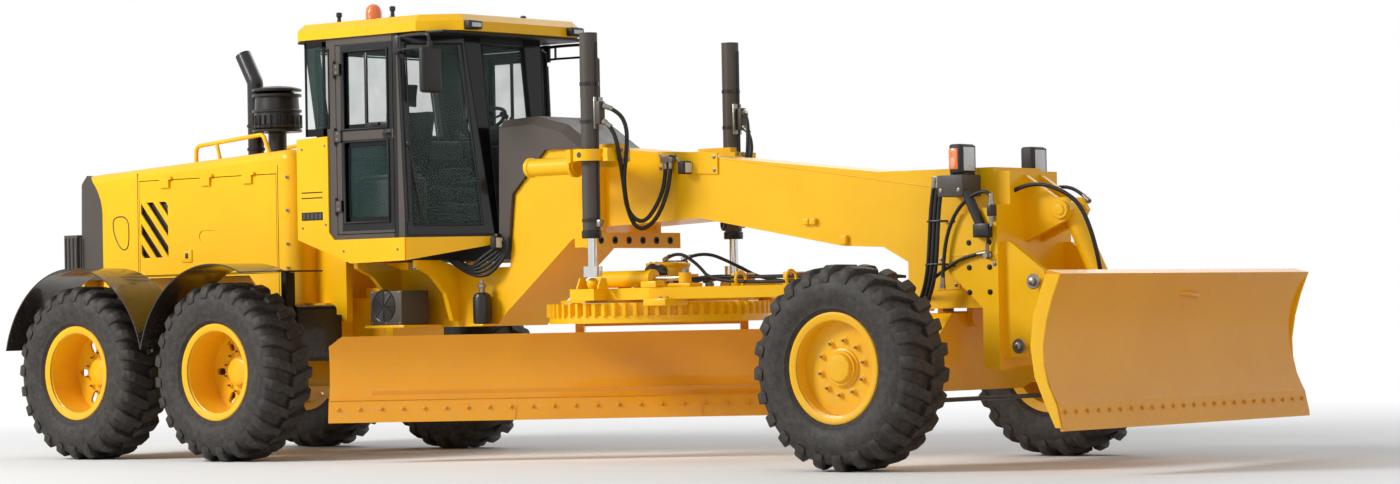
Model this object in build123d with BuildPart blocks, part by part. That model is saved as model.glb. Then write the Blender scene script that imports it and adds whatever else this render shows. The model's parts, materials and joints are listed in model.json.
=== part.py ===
from build123d import *
from math import cos, sin, radians
import os

# Motor grader: articulated frame, tandem rear wheels, cab on the front frame, drawbar, toothed
# circle and moldboard under the gooseneck, leaning and steering front wheels, dozer blade in front.
# Millimetres. +X is forward, +Y is the machine's left, +Z is up, and the ground is at z = 0.

# ---------------------------------------------------------------- driving sizes
REAR_OVERHANG = 1800.0  # tandem centre to the rearmost point
WHEELBASE = 6480.0
FRONT_OVERHANG = 1790.0  # front axle to the dozer blade's lip
TANDEM_X = (REAR_OVERHANG - WHEELBASE - FRONT_OVERHANG) / 2  # puts the middle of the length at x = 0
FRONT_AXLE_X = TANDEM_X + WHEELBASE
TANDEM_SPACING = 1540.0
TRACK = 2400.0
TYRE_R = 655.0
TYRE_W = 445.0
RIM_R = 318.0  # bead seat
RIM_W = 356.0

PIVOT_X = TANDEM_X + 1170  # articulation pin
PIN_R = 45.0
RUN = 0.05  # radial running clearance of a pin in its bore
GAP = 6.0  # clearance between pieces that move past each other

HOOD_HALF = 580.0
HOOD_FRONT = TANDEM_X + 800
HOOD_SIDE_REAR = TANDEM_X - 1360
HOOD_TOP_REAR = TANDEM_X - 1540
HOOD_Z = (1370.0, 2195.0, 2315.0)  # bottom of the side, top at the tail, top at the front
HOOD_CORNER = 120.0  # rounding of the upright front corners
SHEET = 12.0  # thickness of the hood's walls
DOOR_X = (TANDEM_X - 930, TANDEM_X + 610)  # hood side door

CAB_HALF = 800.0
CAB_FLOOR_Z = 1600.0
CAB_TOP_Z = 3080.0
WALL = 50.0  # cab walls and pillars
GLASS = 6.0
ROOF_T = 120.0
DOOR_HINGE_X = TANDEM_X + 1470
DOOR_HINGE_ZS = (1850.0, 2360.0, 2850.0)

BEAM_HALF = 270.0  # half width of the gooseneck
KING_Y = 970.0  # kingpin
LEAN_Y = 800.0  # lean pin
LEAN_Z = 570.0
LEAN_BAR_Z = 860.0
STEER_X = FRONT_AXLE_X + 260  # tie rod balls
STEER_Z = 430.0

CIRCLE_X = TANDEM_X + 3880
CIRCLE_Z = (1010.0, 1100.0)
CIRCLE_R = 800.0  # over the teeth
TEETH = 64
TIP_PIN = (-360.0, 405.0)  # the blade's tilt pin: back from the blade's datum, and up
TIP_PIN_R = 25.0
BLADE_ANGLE = -51.0  # the blade's face, from straight ahead
BLADE_LENGTH = 3960.0
BLADE_SHIFT = -386.0  # along the blade, towards its right end
BLADE_SETBACK = 60.0  # from the circle's centre line to the blade's own datum
BALL_X = FRONT_AXLE_X - 360
BALL_Z = 1050.0

LIFT_X = TANDEM_X + 3930
LIFT_Y = 770.0
LIFT_PIVOT_Z = 2120.0
LIFT_EYE_Z = 1235.0
LIFT_TOP_Z = 2965.0

DOZER_HALF = 1440.0
DOZER_X = FRONT_AXLE_X + FRONT_OVERHANG
LINK_REAR = ((FRONT_AXLE_X + 760, 770.0), (FRONT_AXLE_X + 880, 1180.0))  # lower and upper pins on the mast
LINK_SPAN = (620.0, -150.0)  # from a rear pin to its front pin
DOZER_EYES = ((FRONT_AXLE_X + 890, 1640.0), (FRONT_AXLE_X + 1310, 800.0))  # cylinder: mast and blade eyes

os.makedirs("parts", exist_ok=True)
BLADE_N = (cos(radians(BLADE_ANGLE)), sin(radians(BLADE_ANGLE)), 0)  # the way the blade faces
BLADE_A = (-BLADE_N[1], BLADE_N[0], 0)  # along the blade, towards its left end
BLADE_TOP = Plane(origin=(CIRCLE_X, 0, 0), x_dir=BLADE_N, z_dir=(0, 0, 1))
BLADE_SIDE = Plane(
    origin=(CIRCLE_X - BLADE_SETBACK * BLADE_N[0], -BLADE_SETBACK * BLADE_N[1], 0),
    x_dir=BLADE_N,
    z_dir=tuple(-a for a in BLADE_A),
)
BLADE_FACE = Plane(origin=(CIRCLE_X, 0, 0), x_dir=BLADE_A, z_dir=BLADE_N)  # along the blade and up


# ---------------------------------------------------------------- shared shapes
def plate(outline, low, high, plane=Plane.XZ, mode=Mode.ADD):
    """A plate with its outline in (x, z), from low to high across the machine."""
    with BuildSketch(plane.offset(-low)) as profile:
        with BuildLine():
            Polyline(*outline, close=True)
        make_face()
    extrude(profile.sketch, amount=low - high, mode=mode)


def twin_plate(outline, low, high, plane=Plane.XZ, mode=Mode.ADD):
    """The same plate on both sides of the middle."""
    plate(outline, low, high, plane, mode)
    plate(outline, -high, -low, plane, mode)


def box(x, y, z, mode=Mode.ADD):
    """A box between two stations on each axis."""
    with Locations(((x[0] + x[1]) / 2, (y[0] + y[1]) / 2, (z[0] + z[1]) / 2)):
        Box(x[1] - x[0], y[1] - y[0], z[1] - z[0], mode=mode)


def bar(start, end, radius, mode=Mode.ADD):
    """A round bar from one point to another."""
    run = Vector(*end) - Vector(*start)
    with BuildSketch(Plane(origin=start, z_dir=run)) as section:
        Circle(radius)
    extrude(section.sketch, amount=run.length, mode=mode)


def tube(points, radius, bend):
    """A bent round tube along a route."""
    with BuildLine() as route:
        FilletPolyline(*points, radius=bend)
    with BuildSketch(Plane(origin=route.line @ 0, z_dir=route.line % 0)) as section:
        Circle(radius)
    sweep(section.sketch, path=route.line)


def save(name, part):
    part.label = name
    export_step(part, f"parts/{name}.step")


# ---------------------------------------------------------------- wheels
# name, station along, side, dish: where the disc stands from the wheel's middle, outboard positive
WHEELS = [
    ("rear_right_back", TANDEM_X - TANDEM_SPACING / 2, -1, -100),
    ("rear_right_front", TANDEM_X + TANDEM_SPACING / 2, -1, -100),
    ("rear_left_back", TANDEM_X - TANDEM_SPACING / 2, 1, -100),
    ("rear_left_front", TANDEM_X + TANDEM_SPACING / 2, 1, -100),
    ("front_right", FRONT_AXLE_X, -1, 70),
    ("front_left", FRONT_AXLE_X, 1, 70),
]
SPINDLE_R = 60.0
DISC_T = 20.0
FLANGE_R = 360.0

for name, wheel_x, side, dish in WHEELS:
    centre = Plane(origin=(wheel_x, side * TRACK / 2, TYRE_R), x_dir=(1, 0, 0), z_dir=(0, side, 0))
    profile = Plane(origin=centre.origin, x_dir=(0, 0, 1), z_dir=(1, 0, 0))  # (radius, -side * outboard)
    axle = Axis(centre.origin, (0, 1, 0))

    with BuildPart() as rim:
        with BuildSketch(profile):
            with BuildLine():
                Polyline(
                    (RIM_R - 18, RIM_W / 2 - 20),
                    (FLANGE_R - 12, RIM_W / 2),
                    (FLANGE_R, RIM_W / 2),
                    (FLANGE_R, RIM_W / 2 - 14),
                    (RIM_R, RIM_W / 2 - 18),
                    (RIM_R, 18 - RIM_W / 2),
                    (FLANGE_R, 14 - RIM_W / 2),
                    (FLANGE_R, -RIM_W / 2),
                    (FLANGE_R - 12, -RIM_W / 2),
                    (RIM_R - 18, 20 - RIM_W / 2),
                    close=True,
                )
            make_face()
        revolve(axis=axle)
        with BuildSketch(centre.offset(dish - DISC_T / 2)):
            Circle(RIM_R - 17)
        extrude(amount=DISC_T)
        with BuildSketch(centre.offset(dish - 90)):
            Circle(SPINDLE_R + 50)
        extrude(amount=130)
        with BuildSketch(centre.offset(dish - 91)):
            Circle(SPINDLE_R + RUN)
        extrude(amount=111, mode=Mode.SUBTRACT)
        if dish < 0:
            with BuildSketch(centre.offset(dish - DISC_T)):
                with PolarLocations(220, 6):
                    SlotOverall(90, 50)
            extrude(amount=2 * DISC_T, mode=Mode.SUBTRACT)
    save(f"rim_{name}", rim.part)

    with BuildPart() as tyre:
        with BuildSketch(profile):
            with BuildLine():
                half = TYRE_W / 2
                bead = RIM_W / 2 - 18
                Polyline((RIM_R, -bead), (RIM_R, bead), (FLANGE_R, RIM_W / 2 - 14), (FLANGE_R + 2, RIM_W / 2))
                ThreePointArc((FLANGE_R + 2, RIM_W / 2), (490, half), (TYRE_R - 45, half - 20))
                Polyline((TYRE_R - 45, half - 20), (TYRE_R, half - 60), (TYRE_R, 60 - half), (TYRE_R - 45, 20 - half))
                ThreePointArc((TYRE_R - 45, 20 - half), (490, -half), (FLANGE_R + 2, -RIM_W / 2))
                Polyline((FLANGE_R + 2, -RIM_W / 2), (FLANGE_R, 14 - RIM_W / 2), (RIM_R, -bead))
            make_face()
        revolve(axis=axle)
    save(f"tyre_{name}", tyre.part)

# ---------------------------------------------------------------- rear frame
RAIL_Y = (300.0, 420.0)
RAIL_Z = (930.0, 1368.0)
HOOD_DROP_Z = 1150.0  # the hood's side is deeper ahead of the doors
TONGUE_R = 140.0
TONGUE_Z = (860.0, 1180.0)
HITCH_R = 32.0
AXLE_R = 150.0
BUMPER_X = TANDEM_X - 1700

with BuildPart() as rear_frame:
    rail_rear = TANDEM_X - 1640
    rail = (
        (rail_rear, RAIL_Z[0]), (TANDEM_X + 950, RAIL_Z[0]), (TANDEM_X + 950, HOOD_DROP_Z - 1),
        (TANDEM_X + 780, HOOD_DROP_Z - 1), (TANDEM_X + 780, RAIL_Z[1]), (rail_rear, RAIL_Z[1]),
    )
    twin_plate(rail, *RAIL_Y)
    box((BUMPER_X, rail_rear), (-640, 640), (880, 1200))
    box((TANDEM_X + 890, TANDEM_X + 950), (-RAIL_Y[1], RAIL_Y[1]), (TONGUE_Z[0], HOOD_DROP_Z - 1))
    # crossmembers that the hood and the tail stand on
    for cross_x, top in ((TANDEM_X - 1620, HOOD_Z[0]), (TANDEM_X - 1330, HOOD_Z[0]), (TANDEM_X + 740, HOOD_DROP_Z)):
        box((cross_x - 30, cross_x + 30), (-HOOD_HALF + 2, HOOD_HALF - 2), (top - 60, top))
    # axle seats
    twin_plate(
        (
            (TANDEM_X - 260, 700), (TANDEM_X + 260, 700), (TANDEM_X + 380, RAIL_Z[0]), (TANDEM_X - 380, RAIL_Z[0]),
        ),
        340, 420,
    )
    bar((TANDEM_X, -500, TYRE_R), (TANDEM_X, 500, TYRE_R), AXLE_R + 0.3, Mode.SUBTRACT)
    # side plates ahead of the hood
    twin_plate(
        (
            (HOOD_FRONT + 1, 1100), (TANDEM_X + 1115, 1000), (TANDEM_X + 1115, 1590), (HOOD_FRONT + 60, 1590),
            (HOOD_FRONT + 1, 1530),
        ),
        RAIL_Y[0], 360,
    )
    # tongue with the articulation bore
    box((TANDEM_X + 950, PIVOT_X), (-TONGUE_R, TONGUE_R), TONGUE_Z)
    bar((PIVOT_X, 0, TONGUE_Z[0]), (PIVOT_X, 0, TONGUE_Z[1]), TONGUE_R)
    bar((PIVOT_X, 0, TONGUE_Z[0] - 1), (PIVOT_X, 0, TONGUE_Z[1] + 1), PIN_R + RUN, Mode.SUBTRACT)
    # tow hitch: two ears with a pin bore
    for low, high in ((900, 930), (1010, 1040)):
        box((BUMPER_X - 90, BUMPER_X), (-70, 70), (low, high))
    bar((BUMPER_X - 50, 0, 899), (BUMPER_X - 50, 0, 1041), HITCH_R, Mode.SUBTRACT)
save("rear_frame", rear_frame.part)

with BuildPart() as engine:
    box((TANDEM_X - 1050, TANDEM_X + 200), (-RAIL_Y[0], RAIL_Y[0]), (1160, 1950))
save("engine", engine.part)

CASE_Y = (TRACK / 2 - 540, (TRACK - TYRE_W) / 2 - 47.5)
STUB_Y = (TRACK / 2 - 200, TRACK / 2 - 90)  # ends of a stub's two steps; the second seats on the disc
CASE_R = 230.0
with BuildPart() as rear_axle:
    bar((TANDEM_X, -CASE_Y[0], TYRE_R), (TANDEM_X, CASE_Y[0], TYRE_R), AXLE_R)
    for side in (-1, 1):
        with BuildSketch(Plane(origin=(TANDEM_X, side * CASE_Y[0], TYRE_R), x_dir=(1, 0, 0), z_dir=(0, side, 0))):
            with Locations((-TANDEM_SPACING / 2, 0), (TANDEM_SPACING / 2, 0)):
                Circle(CASE_R)
            Rectangle(TANDEM_SPACING, 2 * CASE_R - 60)
            Circle(CASE_R + 60)
        extrude(amount=CASE_Y[1] - CASE_Y[0])
        for way in (-1, 1):
            wheel_x = TANDEM_X + way * TANDEM_SPACING / 2
            bar((wheel_x, side * CASE_Y[1], TYRE_R), (wheel_x, side * STUB_Y[0], TYRE_R), 115)
            bar((wheel_x, side * STUB_Y[0], TYRE_R), (wheel_x, side * STUB_Y[1], TYRE_R), SPINDLE_R)
save("rear_axle_and_tandems", rear_axle.part)

# ---------------------------------------------------------------- hood
DOOR_Z = (HOOD_Z[0] + 20, 2130.0)
HOOD_HINGE = (HOOD_HALF + 13, DOOR_Z[1] + 6)  # across and up
HINGE_PLACES = [DOOR_X[0] + share * (DOOR_X[1] - DOOR_X[0]) for share in (0.2, 0.5, 0.8)]
STACKS = ((TANDEM_X - 100, -110, 62.0), (TANDEM_X + 160, -130, 70.0))  # exhaust, intake neck: along, across, radius
ROOF_DROP = 75.0  # rounding of the hood's top edges, and the depth of its roof

with BuildPart() as engine_bay:
    plate(
        (
            (TANDEM_X - 1750, 1100), (HOOD_FRONT - SHEET, 1100), (HOOD_FRONT - SHEET, HOOD_Z[2] - ROOF_DROP),
            (TANDEM_X - 1750, HOOD_Z[1] - ROOF_DROP - SHEET),
        ),
        SHEET - HOOD_HALF, HOOD_HALF - SHEET,
    )
    fillet(engine_bay.edges().filter_by(Axis.Z).group_by(Axis.X)[-1], HOOD_CORNER - SHEET)

with BuildPart() as hood:
    with BuildSketch(Plane.XZ.offset(-HOOD_HALF)):
        with BuildLine():
            Polyline(
                (HOOD_SIDE_REAR, 1850),
                (HOOD_SIDE_REAR, HOOD_Z[0]),
                (TANDEM_X + 300, HOOD_Z[0]),
                (TANDEM_X + 520, HOOD_DROP_Z),
                (HOOD_FRONT, HOOD_DROP_Z),
                (HOOD_FRONT, HOOD_Z[2]),
                (HOOD_TOP_REAR, HOOD_Z[1]),
            )
            ThreePointArc((HOOD_TOP_REAR, HOOD_Z[1]), (TANDEM_X - 1410, 2060), (HOOD_SIDE_REAR, 1850))
        make_face()
    extrude(amount=2 * HOOD_HALF)
    shell_top = hood.faces().sort_by(Axis.Z)[-1]
    fillet(shell_top.edges().filter_by(lambda e: abs(e.tangent_at(0.5).X) > 0.9), ROOF_DROP)
    fillet(hood.edges().filter_by(Axis.Z).group_by(Axis.X)[-1], HOOD_CORNER)
    add(engine_bay.part, mode=Mode.SUBTRACT)
    for side in (-1, 1):
        box(DOOR_X, (side * HOOD_HALF - 40, side * HOOD_HALF + 40), DOOR_Z, Mode.SUBTRACT)
        for hinge_x in HINGE_PLACES:
            knuckle_y = sorted((side * HOOD_HALF, side * (HOOD_HALF + 22)))
            box((hinge_x + 50.5, hinge_x + 80), knuckle_y, (HOOD_HINGE[1] - 9, HOOD_HINGE[1] + 14))
        # grab rail
        rail_y = side * 440
        tube(
            (
                (TANDEM_X - 420, rail_y, 2200), (TANDEM_X - 420, rail_y, 2380), (TANDEM_X + 330, rail_y, 2440),
                (TANDEM_X + 410, rail_y, 2260),
            ),
            16, 50,
        )
        bar((TANDEM_X - 140, rail_y, 2230), (TANDEM_X - 190, rail_y, 2398), 14)
    for stack_x, stack_y, radius in STACKS:
        bar((stack_x, stack_y, 2100), (stack_x, stack_y, 2320), radius + 0.3, Mode.SUBTRACT)
save("hood", hood.part)

with BuildPart() as tail_cap:
    cap_half = HOOD_HALF - 2
    with BuildSketch(Plane.XZ.offset(-cap_half)):
        with BuildLine():
            ThreePointArc((HOOD_TOP_REAR, HOOD_Z[1]), (TANDEM_X - 1410, 2060), (HOOD_SIDE_REAR, 1850))
            Polyline(
                (HOOD_SIDE_REAR, 1850),
                (HOOD_SIDE_REAR, HOOD_Z[0]),
                (TANDEM_X - 1660, HOOD_Z[0]),
                (TANDEM_X - 1645, 2090),
                (HOOD_TOP_REAR, HOOD_Z[1]),
            )
        make_face()
    extrude(amount=2 * cap_half)
    fillet(tail_cap.edges().filter_by(lambda e: abs(e.tangent_at(0.5).Z) > 0.99).group_by(Axis.X)[0], 60)
    box((TANDEM_X - 1620, TANDEM_X - 1300), (-545, 545), (HOOD_Z[0] - 5, 2040), Mode.SUBTRACT)
    # radiator grille: a row of upright slots through the tail
    with BuildSketch(Plane.YZ.offset(TANDEM_X - 1600)):
        with Locations((0, 1760)):
            with GridLocations(90, 1, 9, 1):
                SlotOverall(520, 44, rotation=90)
    extrude(amount=-100, mode=Mode.SUBTRACT)
    # tail boxes on both corners
    for side in (-1, 1):
        box((TANDEM_X - REAR_OVERHANG, TANDEM_X - 1640), sorted((side * 400, side * 600)), (1420, 1730))
save("tail_cap", tail_cap.part)

# side doors: hinged along the top, with slanted louvre slots and a pull pocket
LOUVRE_X = (DOOR_X[0] + 20, DOOR_X[0] + 330)
LOUVRE_Z = (1530.0, 1960.0)
LOUVRE_STEP = 142.0
for name, side in (("right", -1), ("left", 1)):
    with BuildPart() as door:
        box(
            (DOOR_X[0] + GAP, DOOR_X[1] - GAP),
            sorted((side * (HOOD_HALF - SHEET), side * HOOD_HALF)),
            (DOOR_Z[0] + GAP, DOOR_Z[1] - GAP),
        )
        with BuildSketch(Plane.XZ.offset(-side * HOOD_HALF)):
            for step in range(6):
                with Locations((LOUVRE_X[0] - 130 + step * LOUVRE_STEP, sum(LOUVRE_Z) / 2)):
                    Rectangle(800, 56, rotation=-48)
            with Locations((sum(LOUVRE_X) / 2, sum(LOUVRE_Z) / 2)):
                Rectangle(LOUVRE_X[1] - LOUVRE_X[0], LOUVRE_Z[1] - LOUVRE_Z[0], mode=Mode.INTERSECT)
        extrude(amount=30, both=True, mode=Mode.SUBTRACT)
        with BuildSketch(Plane.XZ.offset(-side * HOOD_HALF)):
            with Locations((DOOR_X[0] + 800, 1680)):
                SlotOverall(240, 90)
        extrude(amount=side * 6, mode=Mode.SUBTRACT)
        # hinge leaves along the top edge
        for hinge_x in HINGE_PLACES:
            leaf_x = (hinge_x - 50, hinge_x + 50)
            box(leaf_x, sorted((side * HOOD_HALF, side * (HOOD_HALF + 18))), (HOOD_HINGE[1] - 70, HOOD_HINGE[1] - 16))
            box(
                leaf_x, sorted((side * (HOOD_HALF + 7), side * (HOOD_HALF + 19))), (HOOD_HINGE[1] - 20, HOOD_HINGE[1])
            )
            bar((leaf_x[0], side * HOOD_HINGE[0], HOOD_HINGE[1]), (leaf_x[1], side * HOOD_HINGE[0], HOOD_HINGE[1]), 6)
    save(f"hood_door_{name}", door.part)

# ---------------------------------------------------------------- on the rear body
FENDER_R = 785.0
FENDER_T = 10.0
FENDER_Y = ((TRACK - TYRE_W) / 2 - 27.5, (TRACK + TYRE_W) / 2 - 7.5)
FENDER_CUT_Z = 830.0  # the arches end here
STEP_Z = 1375.0  # flat plate ahead of the second arch
STEP_END = 1470.0
HALF_SPACING = TANDEM_SPACING / 2
VALLEY_Z = TYRE_R + (FENDER_R**2 - HALF_SPACING**2) ** 0.5
CARRIER_Z = (970.0, 1010.0)
carrier_end = FENDER_Y[1] - 115
step_start = HALF_SPACING + (FENDER_R**2 - (STEP_Z - TYRE_R) ** 2) ** 0.5 - 15
with BuildPart() as fenders:
    for side in (-1, 1):
        up = -side
        with BuildSketch(Plane(origin=(TANDEM_X, side * FENDER_Y[0], 0), x_dir=(1, 0, 0), z_dir=(0, side, 0))):
            arches = ((-HALF_SPACING, up * TYRE_R), (HALF_SPACING, up * TYRE_R))
            with Locations(*arches):
                Circle(FENDER_R + FENDER_T)
            with Locations(*arches):
                Circle(FENDER_R, mode=Mode.SUBTRACT)
            with Locations((0, up * (FENDER_CUT_Z - 1000))):
                Rectangle(2 * REAR_OVERHANG + 200, 2000, mode=Mode.SUBTRACT)
            with Locations((step_start + 515, up * (STEP_Z - 500))):
                Rectangle(1000, 1000, mode=Mode.SUBTRACT)
            with Locations(((step_start + STEP_END) / 2, up * (STEP_Z + FENDER_T / 2))):
                Rectangle(STEP_END - step_start, FENDER_T)
        extrude(amount=FENDER_Y[1] - FENDER_Y[0])
        # carrier from the frame's rail out to the valley between the arches
        box((TANDEM_X - 40, TANDEM_X + 40), sorted((side * RAIL_Y[1], side * carrier_end)), CARRIER_Z)
        box((TANDEM_X - 12, TANDEM_X + 12), sorted((side * FENDER_Y[0], side * carrier_end)), (VALLEY_Z, CARRIER_Z[0] + 5))
save("fenders", fenders.part)

TANK_X = (TANDEM_X + 1010, TANDEM_X + 1150)
TANK_Y = (500.0, (TRACK - TYRE_W) / 2 - 77.5)
TANK_Z = (720.0, 1135.0)
with BuildPart() as tanks:
    for side in (-1, 1):
        box(TANK_X, sorted((side * TANK_Y[0], side * TANK_Y[1])), TANK_Z)
    fillet(tanks.edges().filter_by(Axis.Y), 40)
    for side in (-1, 1):
        box((TANDEM_X + 960, TANK_X[0] + 50), sorted((side * 361, side * (TANK_Y[0] + 30))), (880, 1060))
        # brackets up to the fenders' flat ends
        box((TANK_X[0] + 45, TANK_X[1] - 45), sorted((side * (TANK_Y[1] - 20), side * (FENDER_Y[0] + 22))), (TANK_Z[1] - 30, STEP_Z))
save("tanks", tanks.part)

with BuildPart() as stacks:
    exhaust_x, exhaust_y, exhaust_r = STACKS[0]
    tube(
        ((exhaust_x, exhaust_y, 2150), (exhaust_x, exhaust_y, 2870), (exhaust_x - 130, exhaust_y, 3090)),
        exhaust_r, 70,
    )
    intake_x, intake_y, neck_r = STACKS[1]
    with BuildSketch(Plane(origin=(intake_x, intake_y, 0), x_dir=(1, 0, 0), z_dir=(0, -1, 0))):
        with BuildLine():
            Polyline(
                (0, 2150), (neck_r, 2150), (neck_r, 2460), (185, 2500), (190, 2520), (180, 2530), (165, 2750),
                (120, 2780), (0, 2785), close=True,
            )
        make_face()
    revolve(axis=Axis((intake_x, intake_y, 0), (0, 0, 1)))
save("exhaust_and_intake", stacks.part)

# ---------------------------------------------------------------- front frame
CLEVIS_R = 150.0
CLEVIS_T = 70.0
CHIN_Z = 955.0  # underside of the low rear part
MAST_X = FRONT_AXLE_X + 605
with BuildPart() as front_frame:
    # gooseneck: low rear box, leg, long beam, drop behind the axle
    plate(
        (
            (PIVOT_X + 330, CHIN_Z),
            (TANDEM_X + 2560, CHIN_Z),
            (TANDEM_X + 2660, 1055),
            (TANDEM_X + 3300, 1560),
            (TANDEM_X + 3600, 1640),
            (TANDEM_X + 4470, 1676),
            (FRONT_AXLE_X - 760, 1450),
            (FRONT_AXLE_X - 420, 1434),
            (FRONT_AXLE_X - 220, 1330),
            (FRONT_AXLE_X - 220, 1020),
            (FRONT_AXLE_X + 480, 1020),
            (FRONT_AXLE_X + 480, 1927),
            (FRONT_AXLE_X - 450, 1932),
            (TANDEM_X + 3560, 2206),
            (TANDEM_X + 3080, 2206),
            (TANDEM_X + 2760, 1900),
            (TANDEM_X + 2700, 1380),
            (PIVOT_X + 330, 1380),
        ),
        -BEAM_HALF,
        BEAM_HALF,
    )
    # articulation clevis and its pin
    for low in (TONGUE_Z[0] - 5 - CLEVIS_T, TONGUE_Z[1] + 5):
        box((PIVOT_X, PIVOT_X + 335), (-CLEVIS_R, CLEVIS_R), (low, low + CLEVIS_T))
        bar((PIVOT_X, 0, low), (PIVOT_X, 0, low + CLEVIS_T), CLEVIS_R)
    box((PIVOT_X + 260, PIVOT_X + 335), (-BEAM_HALF, BEAM_HALF), (TONGUE_Z[0] - 5 - CLEVIS_T, 1380))
    bar((PIVOT_X, 0, TONGUE_Z[0] - 20 - CLEVIS_T), (PIVOT_X, 0, TONGUE_Z[1] + 20 + CLEVIS_T), PIN_R)
    # axle pivot lugs under the nose
    for low in (-140, 95):
        box((FRONT_AXLE_X + low, FRONT_AXLE_X + low + 45), (-60, 60), (940, 1020))
        bar((FRONT_AXLE_X + low, 0, 945), (FRONT_AXLE_X + low + 45, 0, 945), 50)
    bar((FRONT_AXLE_X - 140, 0, 945), (FRONT_AXLE_X + 140, 0, 945), 30)
    # drawbar ball post
    bar((BALL_X, 0, BALL_Z), (FRONT_AXLE_X - 215, 0, BALL_Z), 34)
    with Locations((BALL_X, 0, BALL_Z)):
        Sphere(60)
    # cab mounts: cantilever brackets out to the cab's corners
    for low, high in ((1560, 1600), (2160, 2200)):
        twin_plate_points = (
            (BEAM_HALF, 1000), (BEAM_HALF, 1380), (480, 1440), (720, 1440), (720, 1395), (560, 1330), (420, 1200),
            (350, 1000),
        )
        for side in (-1, 1):
            with BuildSketch(Plane.YZ.offset(TANDEM_X + low)):
                with BuildLine():
                    Polyline(*((side * y, z) for y, z in twin_plate_points), close=True)
                make_face()
            extrude(amount=high - low)
    # mast for the dozer blade
    twin_plate(
        (
            (FRONT_AXLE_X + 220, 1250), (FRONT_AXLE_X + 480, 1020), (FRONT_AXLE_X + 480, 640), (MAST_X, 620),
            (MAST_X, 1680), (FRONT_AXLE_X + 220, 1600),
        ),
        BEAM_HALF, 420,
    )
    box((FRONT_AXLE_X + 480, MAST_X), (-BEAM_HALF, BEAM_HALF), (640, 1900))
    # arms that hold the link pins
    twin_plate(
        (
            (MAST_X, 700), (LINK_REAR[0][0], 700), (LINK_REAR[0][0] + 70, 770), (LINK_REAR[1][0] + 75, 1160),
            (LINK_REAR[1][0] + 40, 1255), (MAST_X + 60, 1440), (MAST_X, 1440),
        ),
        330, 370,
    )
    # cheeks for the cylinder's upper pin
    twin_plate(
        ((MAST_X, 1440), (DOZER_EYES[0][0] + 30, 1570), (DOZER_EYES[0][0] + 80, 1640),
         (DOZER_EYES[0][0] + 30, 1720), (DOZER_EYES[0][0] - 40, 1720), (MAST_X, 1880)),
        70, 110,
    )
    bar((DOZER_EYES[0][0], -110, DOZER_EYES[0][1]), (DOZER_EYES[0][0], 110, DOZER_EYES[0][1]), 28)
    for pin_x, pin_z in LINK_REAR:
        for side in (-1, 1):
            bar((pin_x, side * 375, pin_z), (pin_x, side * 240, pin_z), 28)
save("front_frame", front_frame.part)

# ---------------------------------------------------------------- cab
# plan of the cab: station and half width, at the floor and at the roof; faces between are flat
CAB_PLAN = {
    CAB_FLOOR_Z: ((1300, 700), (1400, 800), (2170, 800), (2560, 280)),
    CAB_TOP_Z: ((1060, 700), (1160, 800), (2108, 800), (2400, 411)),
}


def cab_shell(inset, low=0.0, high=0.0):
    """A solid of the cab's outline, shrunk by inset, between the floor and the roof."""
    with BuildPart() as solid:
        for level, plan in CAB_PLAN.items():
            move = -low if level == CAB_FLOOR_Z else high
            points = [(TANDEM_X + x, -y) for x, y in plan] + [(TANDEM_X + x, y) for x, y in reversed(plan)]
            with BuildSketch(Plane.XY.offset(level + move)):
                with BuildLine():
                    Polyline(*points, close=True)
                make_face()
                if inset:
                    offset(amount=-inset, kind=Kind.INTERSECTION, mode=Mode.REPLACE)
        loft(ruled=True)
    return solid.part


def slant_plane(side):
    """The plane of the cab's slanted corner, seen from outside, at the floor."""
    outward = (520, side * 390, 0)
    return Plane(origin=(TANDEM_X + 2170, side * CAB_HALF, 0), x_dir=(390, -side * 520, 0), z_dir=outward)


# what the windows are cut with, and what the panes are cut from
with BuildPart() as window_cuts:
    box((TANDEM_X + 900, TANDEM_X + 1330), (-600, 600), (2400, 3010))
    plate(
        ((TANDEM_X + 2200, 1680), (TANDEM_X + 2800, 1680), (TANDEM_X + 2800, 3010), (TANDEM_X + 2200, 3010)),
        -235, 235,
    )
    for side in (-1, 1):
        box((TANDEM_X + 1275, TANDEM_X + 1420), sorted((side * 700, side * 900)), (2420, 3010))
        with BuildSketch(slant_plane(side).offset(-160)):
            with BuildLine():
                Polyline((60, -side * 1680), (575, -side * 1680), (440, -side * 3010), (20, -side * 3010), close=True)
            make_face()
        extrude(amount=320)


cab_outside = cab_shell(0)
cab_inside = cab_shell(WALL, 1, 1)
pane_outside = cab_shell(20)
pane_inside = cab_shell(20 + GLASS, 1, 1)

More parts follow.
